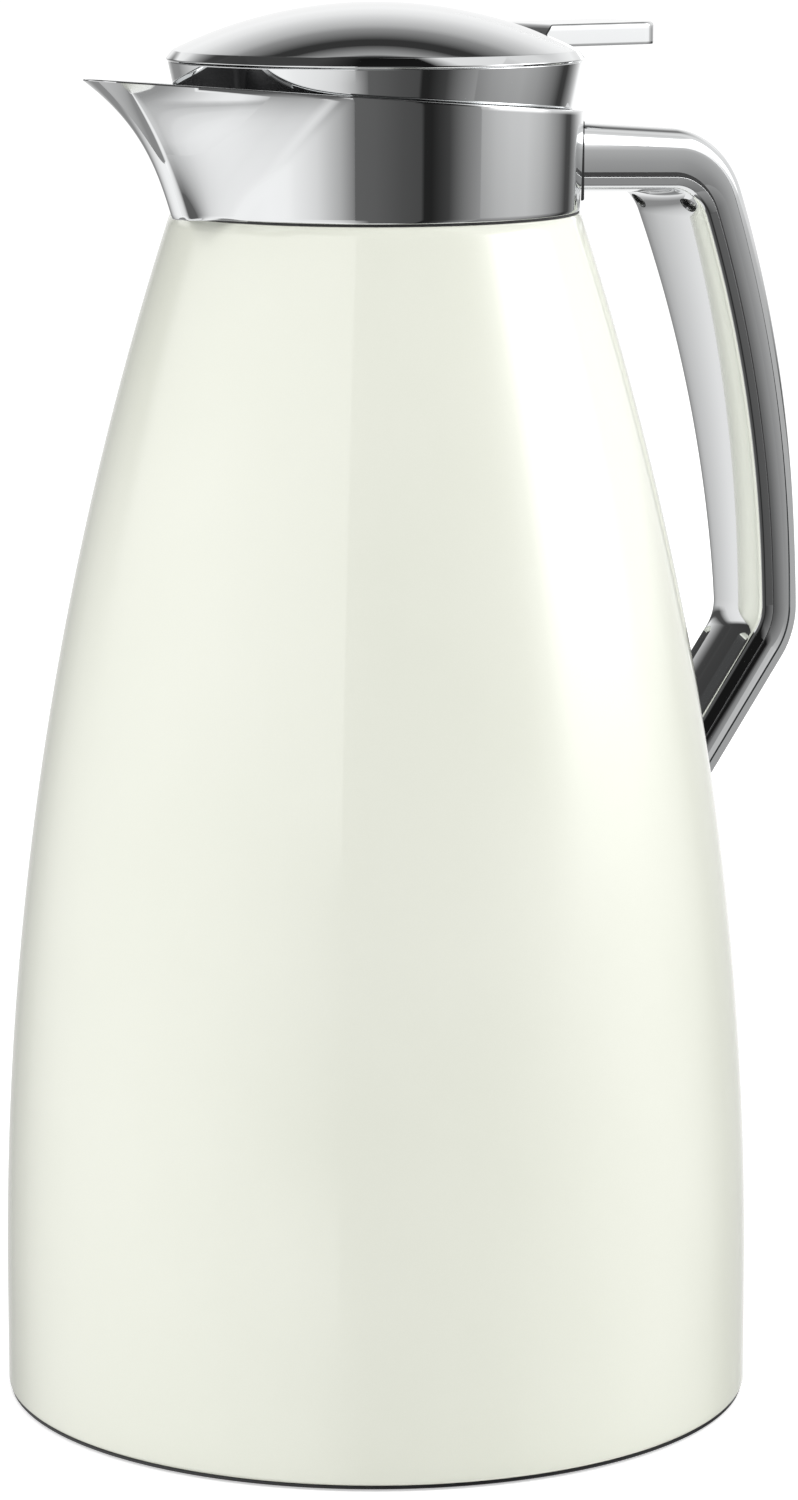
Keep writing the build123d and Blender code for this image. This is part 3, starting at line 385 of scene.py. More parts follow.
def spouted_collar():
    """Thin wall up to the sloping rim, with a rolled lip and a floor that has a round hole."""
    outer = head_wall(0, collar_bottom + collar_foot_edge, rim_heights(0) - rim_round, 34)
    inner = head_wall(plated_wall, collar_floor_top + collar_floor_edge, rim_heights(plated_wall) - rim_round, 30)
    lip = []
    for share in np.linspace(0, 1, 9)[1:-1]:
        turn = share * pi
        flat = (1 - cos(turn)) / 2
        middle = outer[-1] * (1 - flat) + inner[-1] * flat
        middle[:, 2] += rim_round * sin(turn) ** 0.6
        lip.append(middle)
    foot_edge = narrowed(outer[0], collar_foot_edge, collar_bottom)
    floor_edge = narrowed(inner[0], collar_floor_edge, collar_floor_top)
    hole = foot_edge.copy()
    hole[:, :2] *= (collar_hole / np.hypot(hole[:, 0], hole[:, 1]))[:, None]
    hole_top = narrowed(hole, 0, collar_floor_top)
    rows = [both_sides(row) for row in outer + lip + inner[::-1] + [floor_edge, hole_top, hole, foot_edge]]
    return mesh_piece("spouted_collar", mm(np.vstack(rows)), grid_faces(len(rows), len(rows[0]), True, True), 45)


def head_shade_sheet():
    """Black sheet of painted shade against the inside of the collar and the spout: it stands in for the dark hollow of
    the head, which the lid's bright skirt mirrors.
    """
    top = rim_heights(collar_wall) - shade_sheet_drop
    skins = [head_wall(inset, collar_floor_top + 1.0, top, 26) for inset in (plated_wall + 0.02, collar_wall)]
    rows = [both_sides(row) for row in skins[0] + skins[1][::-1]]
    return mesh_piece("head_shade_sheet", mm(np.vstack(rows)), grid_faces(len(rows), len(rows[0]), True, True), 45)


collar = spouted_collar()
# Black sheet of painted shade inside the head, for the lid's skirt to mirror
shade_sheet = head_shade_sheet()


# Saddle plate on the back of the collar
def arc_plate(name, profile, half_angle, count=40):
    """Closed (radius, height) profile swept round the axis between two angles about +X."""
    profile = np.asarray(profile, float)
    angles = np.linspace(-radians(half_angle), radians(half_angle), count)
    rows = [np.column_stack([profile[:, 0] * cos(a), profile[:, 0] * sin(a), profile[:, 1]]) for a in angles]
    return flat_faced(mesh_piece(name, mm(np.vstack(rows)), capped_faces(count, len(profile)), 35))


def collar_radius(height):
    """Radius of the collar's round part, which flares upwards."""
    return seam_radius + collar_flare * head_rise(height)


saddle = arc_plate("saddle_plate", rounded_corners([
    (collar_radius(saddle_foot) + saddle_seat, saddle_foot, 0), (saddle_outer, saddle_foot, saddle_round),
    (saddle_outer, saddle_top - saddle_chamfer, saddle_round),
    (saddle_outer - saddle_chamfer, saddle_top, saddle_top_round),
    (collar_radius(saddle_top) + saddle_seat, saddle_top, 0)]), saddle_half_angle)


# Handle
def chain(height, slope, length, bends, offset):
    """Runs and arcs of one of the handle's side-view lines, moved outwards: a list of arrays of points."""
    heading = radians(slope)
    x, z = handle_root - offset * sin(heading), height + offset * cos(heading)
    parts = [np.array([(x - root_overlap * cos(heading), z - root_overlap * sin(heading)),
                       (x + length * cos(heading), z + length * sin(heading))])]
    x, z = parts[0][-1]
    for (radius, turn), steps in zip(bends, (44, 60, 40)):
        radius += offset
        centre = np.array((x + radius * sin(heading), z - radius * cos(heading)))
        angles = heading - radians(turn) * np.linspace(0, 1, steps)
        parts.append(centre + np.column_stack([-radius * np.sin(angles), radius * np.cos(angles)]))
        heading, (x, z) = angles[-1], parts[-1][-1]
    parts.append(np.array([(x, z), (x + tail_length * cos(heading), z + tail_length * sin(heading))]))
    return parts


def half_width(height):
    """Half width of the handle at a height, from the taper of its front view with rounded bends."""
    slope = (handle_top_half - handle_low_half) / (taper_top - taper_low)
    reach = taper_bend * np.tan(np.arctan(slope) / 2)
    line = handle_low_half + slope * (height - taper_low)
    if height > taper_top + reach:
        return handle_top_half
    if height < taper_low - reach:
        return handle_low_half
    if height > taper_top - reach:
        return handle_top_half - (taper_top + reach - height) ** 2 / (2 * taper_bend)
    if height < taper_low + reach:
        return handle_low_half + (height - taper_low + reach) ** 2 / (2 * taper_bend)
    return line


def until(inside, start, end):
    """Point between two points at which a test stops being true, from the start's side."""
    low, high = 0.0, 1.0
    for _ in range(40):
        middle = (low + high) / 2
        if inside(start + (end - start) * middle):
            low = middle
        else:
            high = middle
    return start + (end - start) * low


def back_section(depth, near_half, far_half):
    """Half outline of the outer half: tucked in at the parting line, full at the middle, rounded at the back."""
    tuck = [(d, near_half + flank_swell - tuck_depth * (1 - d / tuck_reach) ** 2, 0)
            for d in np.linspace(0, tuck_reach, 10)]
    return tuck + [(depth, far_half + back_swell, back_fillet)]


def grip_section(depth, near_half, far_half):
    """Half outline of the inner half: drafted side, rounded edge and a crown under the fingers."""
    crown_line = [(depth - grip_crown * t**2, far_half * t, 0) for t in np.linspace(grip_flat_share, 0, 9)]
    side = [(0, near_half + flank_swell, 0.05), (depth - grip_crown, far_half - grip_draft, grip_fillet)]
    return side + crown_line


def handle_skin(name, near, far, section, root_steps=10, tail_steps=16):
    """Skin between two side-view lines, with the half outline that a section gives on both sides."""
    sections = []
    for near_part, far_part in zip(near, far):
        rows = []
        for p, q in zip(near_part, far_part):
            depth = np.linalg.norm(q - p)
            out = (q - p) / depth
            half = section(depth, half_width(p[1]), half_width(q[1]))
            other = [(d, -y, radius) for d, y, radius in half[::-1] if y > 0]
            outline = rounded_corners(half + other, 9)
            rows.append(np.array([(p[0] + out[0] * d, y, p[1] + out[1] * d) for d, y in outline]))
        sections.append(rows)
    size = len(sections[0][0])
    root, tail = sections[0], sections[-1]
    starts = [until(lambda v: hypot(v[0], v[1]) > saddle_outer + root_gap, root[1][k], root[0][k])
              for k in range(size)]
    ends = [until(lambda v: hypot(v[0], v[1]) > body_radius(v[2], foot_gap), tail[0][k], tail[1][k])
            for k in range(size)]
    rows = [np.array([starts[k] + (root[1][k] - starts[k]) * s for k in range(size)])
            for s in np.linspace(0, 1, root_steps)[:-1]]
    for middle in sections[1:-1]:
        rows += middle[:-1]
    rows += [np.array([tail[0][k] + (ends[k] - tail[0][k]) * s for k in range(size)])
             for s in np.linspace(0, 1, tail_steps)]
    return flat_faced(mesh_piece(name, mm(np.vstack(rows)), capped_faces(len(rows), size)))


def parting(offset):
    """Side-view line between the handle's halves, moved outwards."""
    return chain(parting_height, arm_slope, arm_length, parting_bends, offset)


def back(offset):
    """Side-view line of the handle's outer side, moved outwards."""
    return chain(back_height, back_slope, back_length, back_bends, offset)


def parting_plane(bend, turned_by, along=0.0):
    """Frame on the parting line (origin, across, along, towards the grip side)."""
    heading = radians(arm_slope)
    x, z = handle_root + arm_length * cos(heading), parting_height + arm_length * sin(heading)
    for radius, turn in parting_bends[:bend] + ((parting_bends[bend][0], turned_by),):
        centre_x, centre_z = x + radius * sin(heading), z - radius * cos(heading)
        heading -= radians(turn)
        x, z = centre_x - radius * sin(heading), centre_z + radius * cos(heading)
    x, z = x + along * cos(heading), z + along * sin(heading)
    return (np.array((x, 0, z)), np.array((0.0, 1.0, 0.0)), np.array((cos(heading), 0, sin(heading))),
            np.array((sin(heading), 0, -cos(heading))))


handle_back = handle_skin("handle_outer_half", parting(parting_gap), back(0), back_section)
handle_grip = handle_skin("handle_inner_half", parting(-parting_gap), parting(-grip_depth), grip_section)
screw_plane = parting_plane(0, screw_hole_turn)
slot_plane = parting_plane(2, parting_bends[2][1], slot_start + slot_length / 2)
cutters = []
for side in (-1, 1):
    cutters.append(peg("hole", screw_plane, circle(screw_hole_radius, (side * screw_hole_spread, 0)),
                       grip_depth - screw_hole_depth, grip_depth + cutter_overshoot))
    cutters.append(peg("recess", slot_plane, long_hole(slot_half_width, slot_length, (side * slot_spread, 0)),
                       grip_depth - slot_depth, grip_depth + cutter_overshoot))
cut(handle_grip, cutters)


def parting_strip():
    """Dark strip that shows in the parting line between the handle's halves."""
    near, far = parting(-parting_gap - strip_overlap), parting(parting_gap + strip_overlap)
    rows = []
    for p, q in zip(np.vstack(near), np.vstack(far)):
        near_half, far_half = half_width(p[1]) - strip_inset, half_width(q[1]) - strip_inset
        rows.append([(p[0], near_half, p[1]), (q[0], far_half, q[1]), (q[0], -far_half, q[1]),
                     (p[0], -near_half, p[1])])
    rows = np.array(rows)
    rows[0] = [until(lambda v: hypot(v[0], v[1]) > saddle_outer + strip_end_gap, b, a)
               for a, b in zip(rows[0], rows[1])]
    rows[-1] = [until(lambda v: hypot(v[0], v[1]) > body_radius(v[2], foot_gap + strip_end_gap), a, b)
                for a, b in zip(rows[-2], rows[-1])]
    return mesh_piece("handle_parting_strip", mm(rows.reshape(-1, 3)), capped_faces(len(rows), 4))


strip = parting_strip()


# Lid
def crown(radius, depth=0.0):
    """Height of the dome's sphere at a radius, or of the sphere a depth below it."""
    return dome_top - dome_curve + sqrt((dome_curve - depth) ** 2 - radius**2)


def dome_profile():
    """Shallow crown, a slanted edge band that turns to the sky, a small lower round and the inside."""
    outer = [(r, crown(r), 0) for r in np.linspace(0, dome_radius - dome_band, 70)]
    outer[-1] = (*outer[-1][:2], dome_corner)
    edge = [(dome_radius, dome_bottom + dome_corner, dome_edge_rounds[0]),
            (dome_radius - dome_corner, dome_bottom, dome_edge_rounds[1]), (dome_radius - dome_wall, dome_bottom, 0)]
    inner = [(r, crown(r, dome_wall), 0) for r in np.linspace(dome_radius - dome_wall, 0, 24)]
    return rounded_corners(outer + edge + inner, 6)


dome = turned("lid_cover", dome_profile(), 40)
skirt_profile = [(r, z, skirt_round) for r, z in skirt_rings]
skirt_profile += [(r - skirt_wall, z, 0) for r, z in skirt_rings[::-1]]
skirt = turned("lid_skirt_ring", rounded_corners(skirt_profile, 8), 40)


def lever_slot(name):
    """Stepped cutter for the lever's slot in the lid: narrow for the arm, wider for its plate."""
    return [block(name, (start, -half, slot_floor), (slot_end, half, slot_top)) for start, half in lever_slots]


cut(dome, lever_slot("dome_slot"))
cut(skirt, lever_slot("skirt_slot"))


# Lever plate: bright cap, its inner end cut on a slant, rounded at the front corners and along the top
def lever_cap():
    """Cap built in layers that follow the rounded top edge, hollow under the top."""
    def layer(height, shrink):
        slant = plate_rake * (plate_top - height) / (plate_top - plate_low)
        inner_x, outer_x, half = plate_start - slant + shrink, plate_end - shrink, plate_half - shrink
        inner_round, outer_round = max(0.05, plate_inner_corner - shrink * 0.2), plate_corner - shrink
        corners = [(inner_x, -half, inner_round), (outer_x, -half, outer_round),
                   (outer_x, half, outer_round), (inner_x, half, inner_round)]
        return np.array([(x, y, height) for x, y in rounded_corners(corners, 12)])

    rows = [layer(plate_low + rise, shrink) for rise, shrink in plate_foot_layers]
    rows += [layer(h, 0) for h in np.linspace(plate_low + plate_side_start, plate_top - plate_edge, 6)]
    rows += [layer(plate_top - plate_edge + plate_edge * sin(a), plate_edge * (1 - cos(a)))
             for a in np.linspace(0, pi / 2, 9)[1:]]
    rows += [layer(plate_top, shrink) for shrink in plate_top_layers]
    return flat_faced(mesh_piece("lever_cap", mm(np.vstack(rows)), capped_faces(len(rows), len(rows[0])), 40))


cap = lever_cap()
cut(cap, [block("cap_hollow", (plate_hollow_start, -plate_hollow_half, plate_low - 1),
                (plate_end - plate_corner + plate_hollow_reach, plate_hollow_half, plate_top - plate_wall))])


# What repeats is set out by a tree of nodes
def row_tree():
    """Geometry nodes: copies of a piece in a row across its plane, from -Spread to Spread at a Height."""
    tree = bpy.data.node_groups.new("row_across", "GeometryNodeTree")
    face = tree.interface
    face.new_socket("Geometry", in_out="INPUT", socket_type="NodeSocketGeometry")
    face.new_socket("Count", in_out="INPUT", socket_type="NodeSocketInt").default_value = 2
    for label in ("Spread", "Height"):
        face.new_socket(label, in_out="INPUT", socket_type="NodeSocketFloat")
    face.new_socket("Finish", in_out="INPUT", socket_type="NodeSocketMaterial")
    face.new_socket("Geometry", in_out="OUTPUT", socket_type="NodeSocketGeometry")
    node, link = tree.nodes.new, tree.links.new
    entry, leave = node("NodeGroupInput"), node("NodeGroupOutput")
    row, place, mirror = node("GeometryNodeMeshLine"), node("GeometryNodeInstanceOnPoints"), node("ShaderNodeMath")
    row.mode = "END_POINTS"
    mirror.operation = "MULTIPLY"
    mirror.inputs[1].default_value = -1.0
    start, end = node("ShaderNodeCombineXYZ"), node("ShaderNodeCombineXYZ")
    real, paint = node("GeometryNodeRealizeInstances"), node("GeometryNodeSetMaterial")
    link(entry.outputs["Spread"], mirror.inputs[0])
    link(mirror.outputs["Value"], start.inputs["X"])
    link(entry.outputs["Spread"], end.inputs["X"])
    for corner in (start, end):
        link(entry.outputs["Height"], corner.inputs["Z"])
    link(entry.outputs["Count"], row.inputs["Count"])
    link(start.outputs["Vector"], row.inputs["Start Location"])
    link(end.outputs["Vector"], row.inputs["Offset"])
    link(row.outputs["Mesh"], place.inputs["Points"])
    link(entry.outputs["Geometry"], place.inputs["Instance"])
    link(place.outputs["Instances"], real.inputs["Geometry"])
    link(real.outputs["Geometry"], paint.inputs["Geometry"])
    link(entry.outputs["Finish"], paint.inputs["Material"])
    link(paint.outputs["Geometry"], leave.inputs["Geometry"])
    return tree


def set_out(piece, tree, values):
    """Runs a tree on a piece, with its inputs set by name."""
    step = piece.modifiers.new("set_out", "NODES")
    step.node_group = tree
    for item in tree.interface.items_tree:
        if item.item_type == "SOCKET" and item.in_out == "INPUT" and item.name in values:
            step[item.identifier] = values[item.name]
    bake(piece)


def turned_to(piece, origin, across, along, normal):
    """Moves a mesh made about the origin to a plane's frame, given in millimetres."""
    place = Matrix((across, along, normal)).transposed().to_4x4()
    place.translation = Vector(mm(origin))
    piece.data.transform(place)


# Finishes
def node_material(name):
    """New material and its tree of nodes."""
    material = bpy.data.materials.new(name)
    material.use_nodes = True
    return material, material.node_tree


def finish_nodes(name):
    """New finish: its material, its tree, its shader and the object's coordinates."""
    material, tree = node_material(name)
    shader = tree.nodes["Principled BSDF"]
    place = tree.nodes.new("ShaderNodeTexCoord").outputs["Object"]
    return material, tree, shader, place


def grain(tree, place, scale, detail=2.0, roughness=0.5, stretch=(1, 1, 1)):
    """Noise of a size given in steps per metre, which may be stretched along the axes."""
    mapping = tree.nodes.new("ShaderNodeMapping")
    mapping.inputs["Scale"].default_value = stretch
    noise = tree.nodes.new("ShaderNodeTexNoise")
    noise.inputs["Scale"].default_value = scale
    noise.inputs["Detail"].default_value = detail
    noise.inputs["Roughness"].default_value = roughness
    tree.links.new(place, mapping.inputs["Vector"])
    tree.links.new(mapping.outputs["Vector"], noise.inputs["Vector"])
    return noise.outputs["Fac"]


def between(tree, value, low, high):
    """Takes the middle of a noise's range to the range from low to high."""
    step = tree.nodes.new("ShaderNodeMapRange")
    step.inputs["From Min"].default_value, step.inputs["From Max"].default_value = 0.3, 0.7
    step.inputs["To Min"].default_value, step.inputs["To Max"].default_value = low, high
    tree.links.new(value, step.inputs["Value"])
    return step.outputs["Result"]


def tinted(tree, value, first, second):
    """Colour that runs from one to the other with a value."""
    mix = tree.nodes.new("ShaderNodeMix")
    mix.data_type = "RGBA"
    mix.inputs["A"].default_value, mix.inputs["B"].default_value = (*first, 1), (*second, 1)
    tree.links.new(value, mix.inputs["Factor"])
    return mix.outputs["Result"]


def relief(tree, value, strength, depth):
    """Bump from a value, its depth in metres."""
    bump = tree.nodes.new("ShaderNodeBump")
    bump.inputs["Strength"].default_value, bump.inputs["Distance"].default_value = strength, depth
    tree.links.new(value, bump.inputs["Height"])
    return bump.outputs["Normal"]


def lay_on(tree, shader, colour, roughness, normal, layer="Normal"):
    """Joins a finish's colour, roughness and relief to its shader."""
    for value, socket in ((colour, "Base Color"), (roughness, "Roughness"), (normal, layer)):
        tree.links.new(value, shader.inputs[socket])


def pearl_lacquer():
    """Ivory pearl lacquer: fine flakes in the colour under a clear coat with a faint orange peel."""
    material, tree, shader, place = finish_nodes("ivory_pearl_lacquer")
    flakes = tree.nodes.new("ShaderNodeTexVoronoi")
    flakes.inputs["Scale"].default_value = 3200
    tree.links.new(place, flakes.inputs["Vector"])
    cloud = between(tree, grain(tree, place, 18, 3), 0.0, 1.0)
    speck = tree.nodes.new("ShaderNodeMix")
    speck.data_type = "FLOAT"
    speck.inputs["Factor"].default_value = 0.35
    tree.links.new(cloud, speck.inputs["A"])
    tree.links.new(flakes.outputs["Distance"], speck.inputs["B"])
    lay_on(tree, shader, tinted(tree, speck.outputs["Result"], (0.865, 0.885, 0.775), (0.905, 0.92, 0.82)),
           between(tree, grain(tree, place, 40), 0.36, 0.40),
           relief(tree, grain(tree, place, 420, 1), 0.05, 0.00004), "Coat Normal")
    shader.inputs["Coat Weight"].default_value = 1.0
    shader.inputs["Coat Roughness"].default_value = 0.02
    shader.inputs["Coat IOR"].default_value = 1.6
    return material


def polished_chrome(name, tone, low, high):
    """Bright plating: mirror-like, with faint polishing haze and the slightest waviness."""
    material, tree, shader, place = finish_nodes(name)
    haze = grain(tree, place, 60, 4)
    lay_on(tree, shader, tinted(tree, between(tree, haze, 0.0, 1.0), [0.985 * t for t in tone], tone),
           between(tree, haze, low, high), relief(tree, grain(tree, place, 45, 1), 0.04, 0.00005))
    shader.inputs["Metallic"].default_value = 1.0
    return material


def moulded_plastic():
    """Black moulded plastic: fine spark-eroded grain, slightly satin."""
    material, tree, shader, place = finish_nodes("black_moulded_plastic")
    pits = grain(tree, place, 2600, 3, 0.6)
    lay_on(tree, shader, tinted(tree, pits, (0.010, 0.010, 0.011), (0.020, 0.020, 0.021)),
           between(tree, pits, 0.34, 0.44), relief(tree, pits, 0.25, 0.00003))
    return material


def soft_rubber(name, first, second, low, high):
    """Matt rubber or silicone: cloudy tone, dry surface with a fine tooth."""
    material, tree, shader, place = finish_nodes(name)
    tooth = grain(tree, place, 1700, 4, 0.65)
    lay_on(tree, shader, tinted(tree, grain(tree, place, 120, 3), first, second),
           between(tree, tooth, low, high), relief(tree, tooth, 0.35, 0.00004))
    shader.inputs["Sheen Weight"].default_value = 0.08
    return material


def silvered_glass():
    """Glass with its silvering behind: a cool mirror with tiny draw lines."""
    material, tree, shader, place = finish_nodes("silvered_vacuum_glass")
    draw = grain(tree, place, 160, 2, 0.5, (1, 1, 0.12))
    lay_on(tree, shader, tinted(tree, draw, (0.80, 0.83, 0.86), (0.88, 0.90, 0.92)),
           between(tree, draw, 0.05, 0.11), relief(tree, draw, 0.08, 0.0002))
    shader.inputs["Metallic"].default_value = 1.0
    shader.inputs["Coat Weight"].default_value = 1.0
    shader.inputs["Coat Roughness"].default_value = 0.01
    return material


def drawn_steel():
    """Bright steel: brushed along its length, with darker marks from the die."""
    material, tree, shader, place = finish_nodes("drawn_steel")
    brush = grain(tree, place, 900, 3, 0.6, (0.06, 1, 1))
    lay_on(tree, shader, tinted(tree, brush, (0.52, 0.52, 0.53), (0.66, 0.66, 0.67)),
           between(tree, brush, 0.22, 0.34), relief(tree, brush, 0.15, 0.00004))
    shader.inputs["Metallic"].default_value = 1.0
    return material


finishes = {
    "ivory_lacquer": pearl_lacquer(),
    "bright_chrome": polished_chrome("bright_chrome_plate", (0.80, 0.81, 0.815), 0.02, 0.045),
    "black_plastic": moulded_plastic(),
    "black_rubber": soft_rubber("black_rubber", (0.016, 0.016, 0.017), (0.026, 0.026, 0.027), 0.55, 0.72),
    "grey_silicone": soft_rubber("grey_silicone", (0.46, 0.46, 0.45), (0.54, 0.54, 0.53), 0.42, 0.55),
    "silvered_glass": silvered_glass(),
    "bright_steel": drawn_steel(),
}


# Dark cups that close the screw holes of the grip
plug_rim = screw_hole_depth - plug_rim_drop
plugs = turned("grip_plugs", [
    (0, plug_low), (plug_radius, plug_low), (plug_radius, plug_rim), (plug_radius - plug_wall, plug_rim),
    (plug_radius - plug_wall, plug_floor), *((plug_radius * share, plug_floor + rise) for share, rise in plug_pip)],
    40, 48)
set_out(plugs, row_tree(), {
    "Count": 2, "Spread": screw_hole_spread / 1000, "Height": (grip_depth - screw_hole_depth) / 1000,
    "Finish": finishes["black_plastic"]})
turned_to(plugs, *screw_plane)

# What each piece rides on, replaces and is finished in
pieces = {
    "body_shell": (body, "carafe", "ivory_lacquer"),
    "base_cap": (base_cap, "carafe", "black_plastic"),
    "collar": (collar, "carafe", "bright_chrome"),
    "handle_saddle": (saddle, "carafe", "bright_chrome"),
    "handle_back": (handle_back, "carafe", "bright_chrome"),
    "handle_grip": (handle_grip, "carafe", "bright_chrome"),
    "lid_dome": (dome, "lid", "bright_chrome"),
    "lid_skirt": (skirt, "lid", "bright_chrome"),
    "lever_plate": (cap, "lever", "bright_chrome"),
}
for node, (piece, rides_on, finish) in pieces.items():
    piece.data.materials.clear()
    piece.data.materials.append(finishes[finish])
    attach(piece, rides_on)
    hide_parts(node)
# Black plastic for the parting strip, the sheet of painted shade inside the head and the cups in the screw holes
for piece in (strip, shade_sheet, plugs):
    piece.data.materials.clear()
    piece.data.materials.append(finishes["black_plastic"])
    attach(piece, "carafe")
node_slots = {row["node"]: row["material_slot"] for row in frame["record"]["subparts"]}
for node, shape in nodes.items():
    if node not in pieces:
        for holder in shape.material_slots:
            holder.material = finishes[node_slots[node]]


# Studio: pale floor, white surround, soft lamps, and cards that show only as reflections
def light_path_value(tree, *rays):
    """1 for the named kinds of ray, 0 for the rest."""
    path = tree.nodes.new("ShaderNodeLightPath")
    value = path.outputs[rays[0]]
    for ray in rays[1:]:
        larger = tree.nodes.new("ShaderNodeMath")
        larger.operation = "MAXIMUM"
        tree.links.new(value, larger.inputs[0])
        tree.links.new(path.outputs[ray], larger.inputs[1])
        value = larger.outputs[0]
    return value


def surround(level):
    """White for the camera and in reflections, and an even soft level for everything else."""
    world = bpy.data.worlds.new("studio_surround")
    scene.world = world
    world.use_nodes = True
    tree = world.node_tree
    ground = tree.nodes["Background"]
    ground.inputs["Color"].default_value = (1, 1, 1, 1)
    strength = tree.nodes.new("ShaderNodeMix")
    strength.data_type = "FLOAT"
    strength.inputs["A"].default_value, strength.inputs["B"].default_value = level, 1.0
    tree.links.new(light_path_value(tree, "Is Camera Ray", "Is Glossy Ray", "Is Transmission Ray"),
                   strength.inputs["Factor"])
    tree.links.new(strength.outputs["Result"], ground.inputs["Strength"])


def floor(size, tone, lift):
    """Pale floor that the camera sees as white where no shadow falls."""
    mesh = bpy.data.meshes.new("floor")
    mesh.from_pydata([(-size, -size, 0), (size, -size, 0), (size, size, 0), (-size, size, 0)], [], [(0, 1, 2, 3)])
    ground = placed("floor", mesh)
    material, tree = node_material("floor_paint")
    paint = tree.nodes["Principled BSDF"]
    paint.inputs["Base Color"].default_value = (tone, tone, tone, 1)
    paint.inputs["Roughness"].default_value = 0.9
    glow, total = tree.nodes.new("ShaderNodeEmission"), tree.nodes.new("ShaderNodeAddShader")
    amount = tree.nodes.new("ShaderNodeMath")
    amount.operation = "MULTIPLY"
    amount.inputs[1].default_value = lift
    tree.links.new(light_path_value(tree, "Is Camera Ray", "Is Glossy Ray"), amount.inputs[0])
    tree.links.new(amount.outputs[0], glow.inputs["Strength"])
    tree.links.new(paint.outputs[0], total.inputs[0])
    tree.links.new(glow.outputs[0], total.inputs[1])
    tree.links.new(total.outputs[0], tree.nodes["Material Output"].inputs["Surface"])
    mesh.materials.append(material)
    ground.visible_glossy = False


def toward(azimuth, reach, height):
    """Point at an angle to the right of the camera's side of the jug, in metres."""
    angle = radians(-90 - view_turn + azimuth)
    return Vector((reach * cos(angle), reach * sin(angle), height))


def card(name, columns, rows):
    """Curved card round the jug that only reflections show, feathered where its cover falls to nothing.

    Columns are (angle, brightness, cover) and rows are (reach, height, brightness, cover).
    """
    marks, shades, covers = zip(*columns)
    angles = np.union1d(marks, np.arange(marks[0], marks[-1], 3))
    columns = list(zip(angles, np.interp(angles, marks, shades), np.interp(angles, marks, covers)))
    vertices = [tuple(toward(column[0], row[0], row[1])) for row in rows for column in columns]
    tones = [(column[1] * row[2], column[2] * row[3]) for row in rows for column in columns]
    mesh = bpy.data.meshes.new(name)
    mesh.from_pydata(vertices, [], grid_faces(len(rows), len(columns)))
    layer = mesh.color_attributes.new("tone", "FLOAT_COLOR", "POINT")
    for spot, (tone, share) in zip(layer.data, tones):
        spot.color = (tone, tone, tone, share)
    panel = placed(name, mesh)
    material, tree = node_material(name)
    tree.nodes.remove(tree.nodes["Principled BSDF"])
    painted, glow = tree.nodes.new("ShaderNodeVertexColor"), tree.nodes.new("ShaderNodeEmission")
    clear, blend = tree.nodes.new("ShaderNodeBsdfTransparent"), tree.nodes.new("ShaderNodeMixShader")
    painted.layer_name = "tone"
    tree.links.new(painted.outputs["Color"], glow.inputs["Color"])
    tree.links.new(painted.outputs["Alpha"], blend.inputs["Fac"])
    tree.links.new(clear.outputs[0], blend.inputs[1])
    tree.links.new(glow.outputs[0], blend.inputs[2])
    tree.links.new(blend.outputs[0], tree.nodes["Material Output"].inputs["Surface"])
    material.cycles.emission_sampling = "NONE"
    mesh.materials.append(material)
    panel.visible_camera = panel.visible_diffuse = panel.visible_shadow = False


def upright(reach, *marks):
    """Rows of an upright card, all at one reach, from marks of (height, brightness, cover)."""
    return [(reach, *mark) for mark in marks]


def level(height, *marks):
    """Rows of a level card, all at one height, from marks of (reach, brightness, cover)."""
    return [(reach, height, brightness, cover) for reach, brightness, cover in marks]


def lamp(name, azimuth, reach, height, size, power, aim=0.14):
    """Square soft lamp aimed at the jug. It lights the finishes and isn't seen as a shape in them."""
    data = bpy.data.lights.new(name, "AREA")
    data.size, data.energy = size, power
    light = placed(name, data)
    light.location = toward(azimuth, reach, height)
    light.rotation_euler = (Vector((0, 0, aim)) - light.location).to_track_quat("-Z", "Y").to_euler()
    light.visible_glossy = False


surround(0.62)
floor(30.0, 0.86, 0.5)
lamp("left_lamp", -75, 1.6, 1.1, 1.2, 10.0)
lamp("right_lamp", 80, 1.6, 0.9, 1.0, 9.5)
lamp("back_right_lamp", 135, 1.6, 0.7, 1.0, 8.0)
lamp("top_lamp", 20, 0.4, 1.9, 1.2, 8.0)

# Walls of cards, seen in the upright sides: brightness by angle from the camera's side, to the right
card("left_wall", [(-178, 1.0, 0), (-165, 0.6, 1), (-155, 0.3, 1), (-142, 0.3, 1), (-125, 0.65, 1), (-105, 0.92, 1),
                   (-82, 1.06, 1), (-60, 1.09, 1), (-11, 1.0, 1)], upright(3.0, (-3.0, 1, 1), (4.0, 1, 1)))
card("front_gap", [(-11, 0.135, 1), (0, 0.125, 1), (15, 0.09, 1), (25, 0.078, 1), (27, 0.02, 1), (31, 0.02, 1),
                   (41, 0.06, 1), (50, 0.2, 1), (60, 0.34, 1)], upright(3.0, (-3.0, 1, 1), (3.7, 1, 1)))
card("right_wall", [(60, 0.34, 1), (70, 0.44, 1), (80, 0.49, 1), (92, 0.5, 1), (105, 0.4, 1), (121, 0.2, 1),
                    (131, 0.05, 1), (136, 0.05, 1), (143, 0.2, 1), (158, 0.6, 1), (172, 1.0, 0)],
     upright(3.0, (-2.7, 0.3, 1), (-1.62, 0.62, 1), (-0.84, 0.8, 1), (-0.2, 1.05, 1), (0.0, 1.45, 1), (0.3, 1.8, 1),
             (4.0, 1.8, 1)))
card("left_horizon", [(-52, 1.08, 0), (-45, 1.0, 1), (-38, 0.91, 1), (-32, 0.82, 1), (-25, 0.64, 1), (-19, 0.50, 1),
                      (-12.4, 0.285, 1), (-11, 0.22, 1)],
     upright(2.9, (-0.6, 1, 0), (-0.3, 1, 1), (0.25, 1, 1), (0.5, 1, 0)))

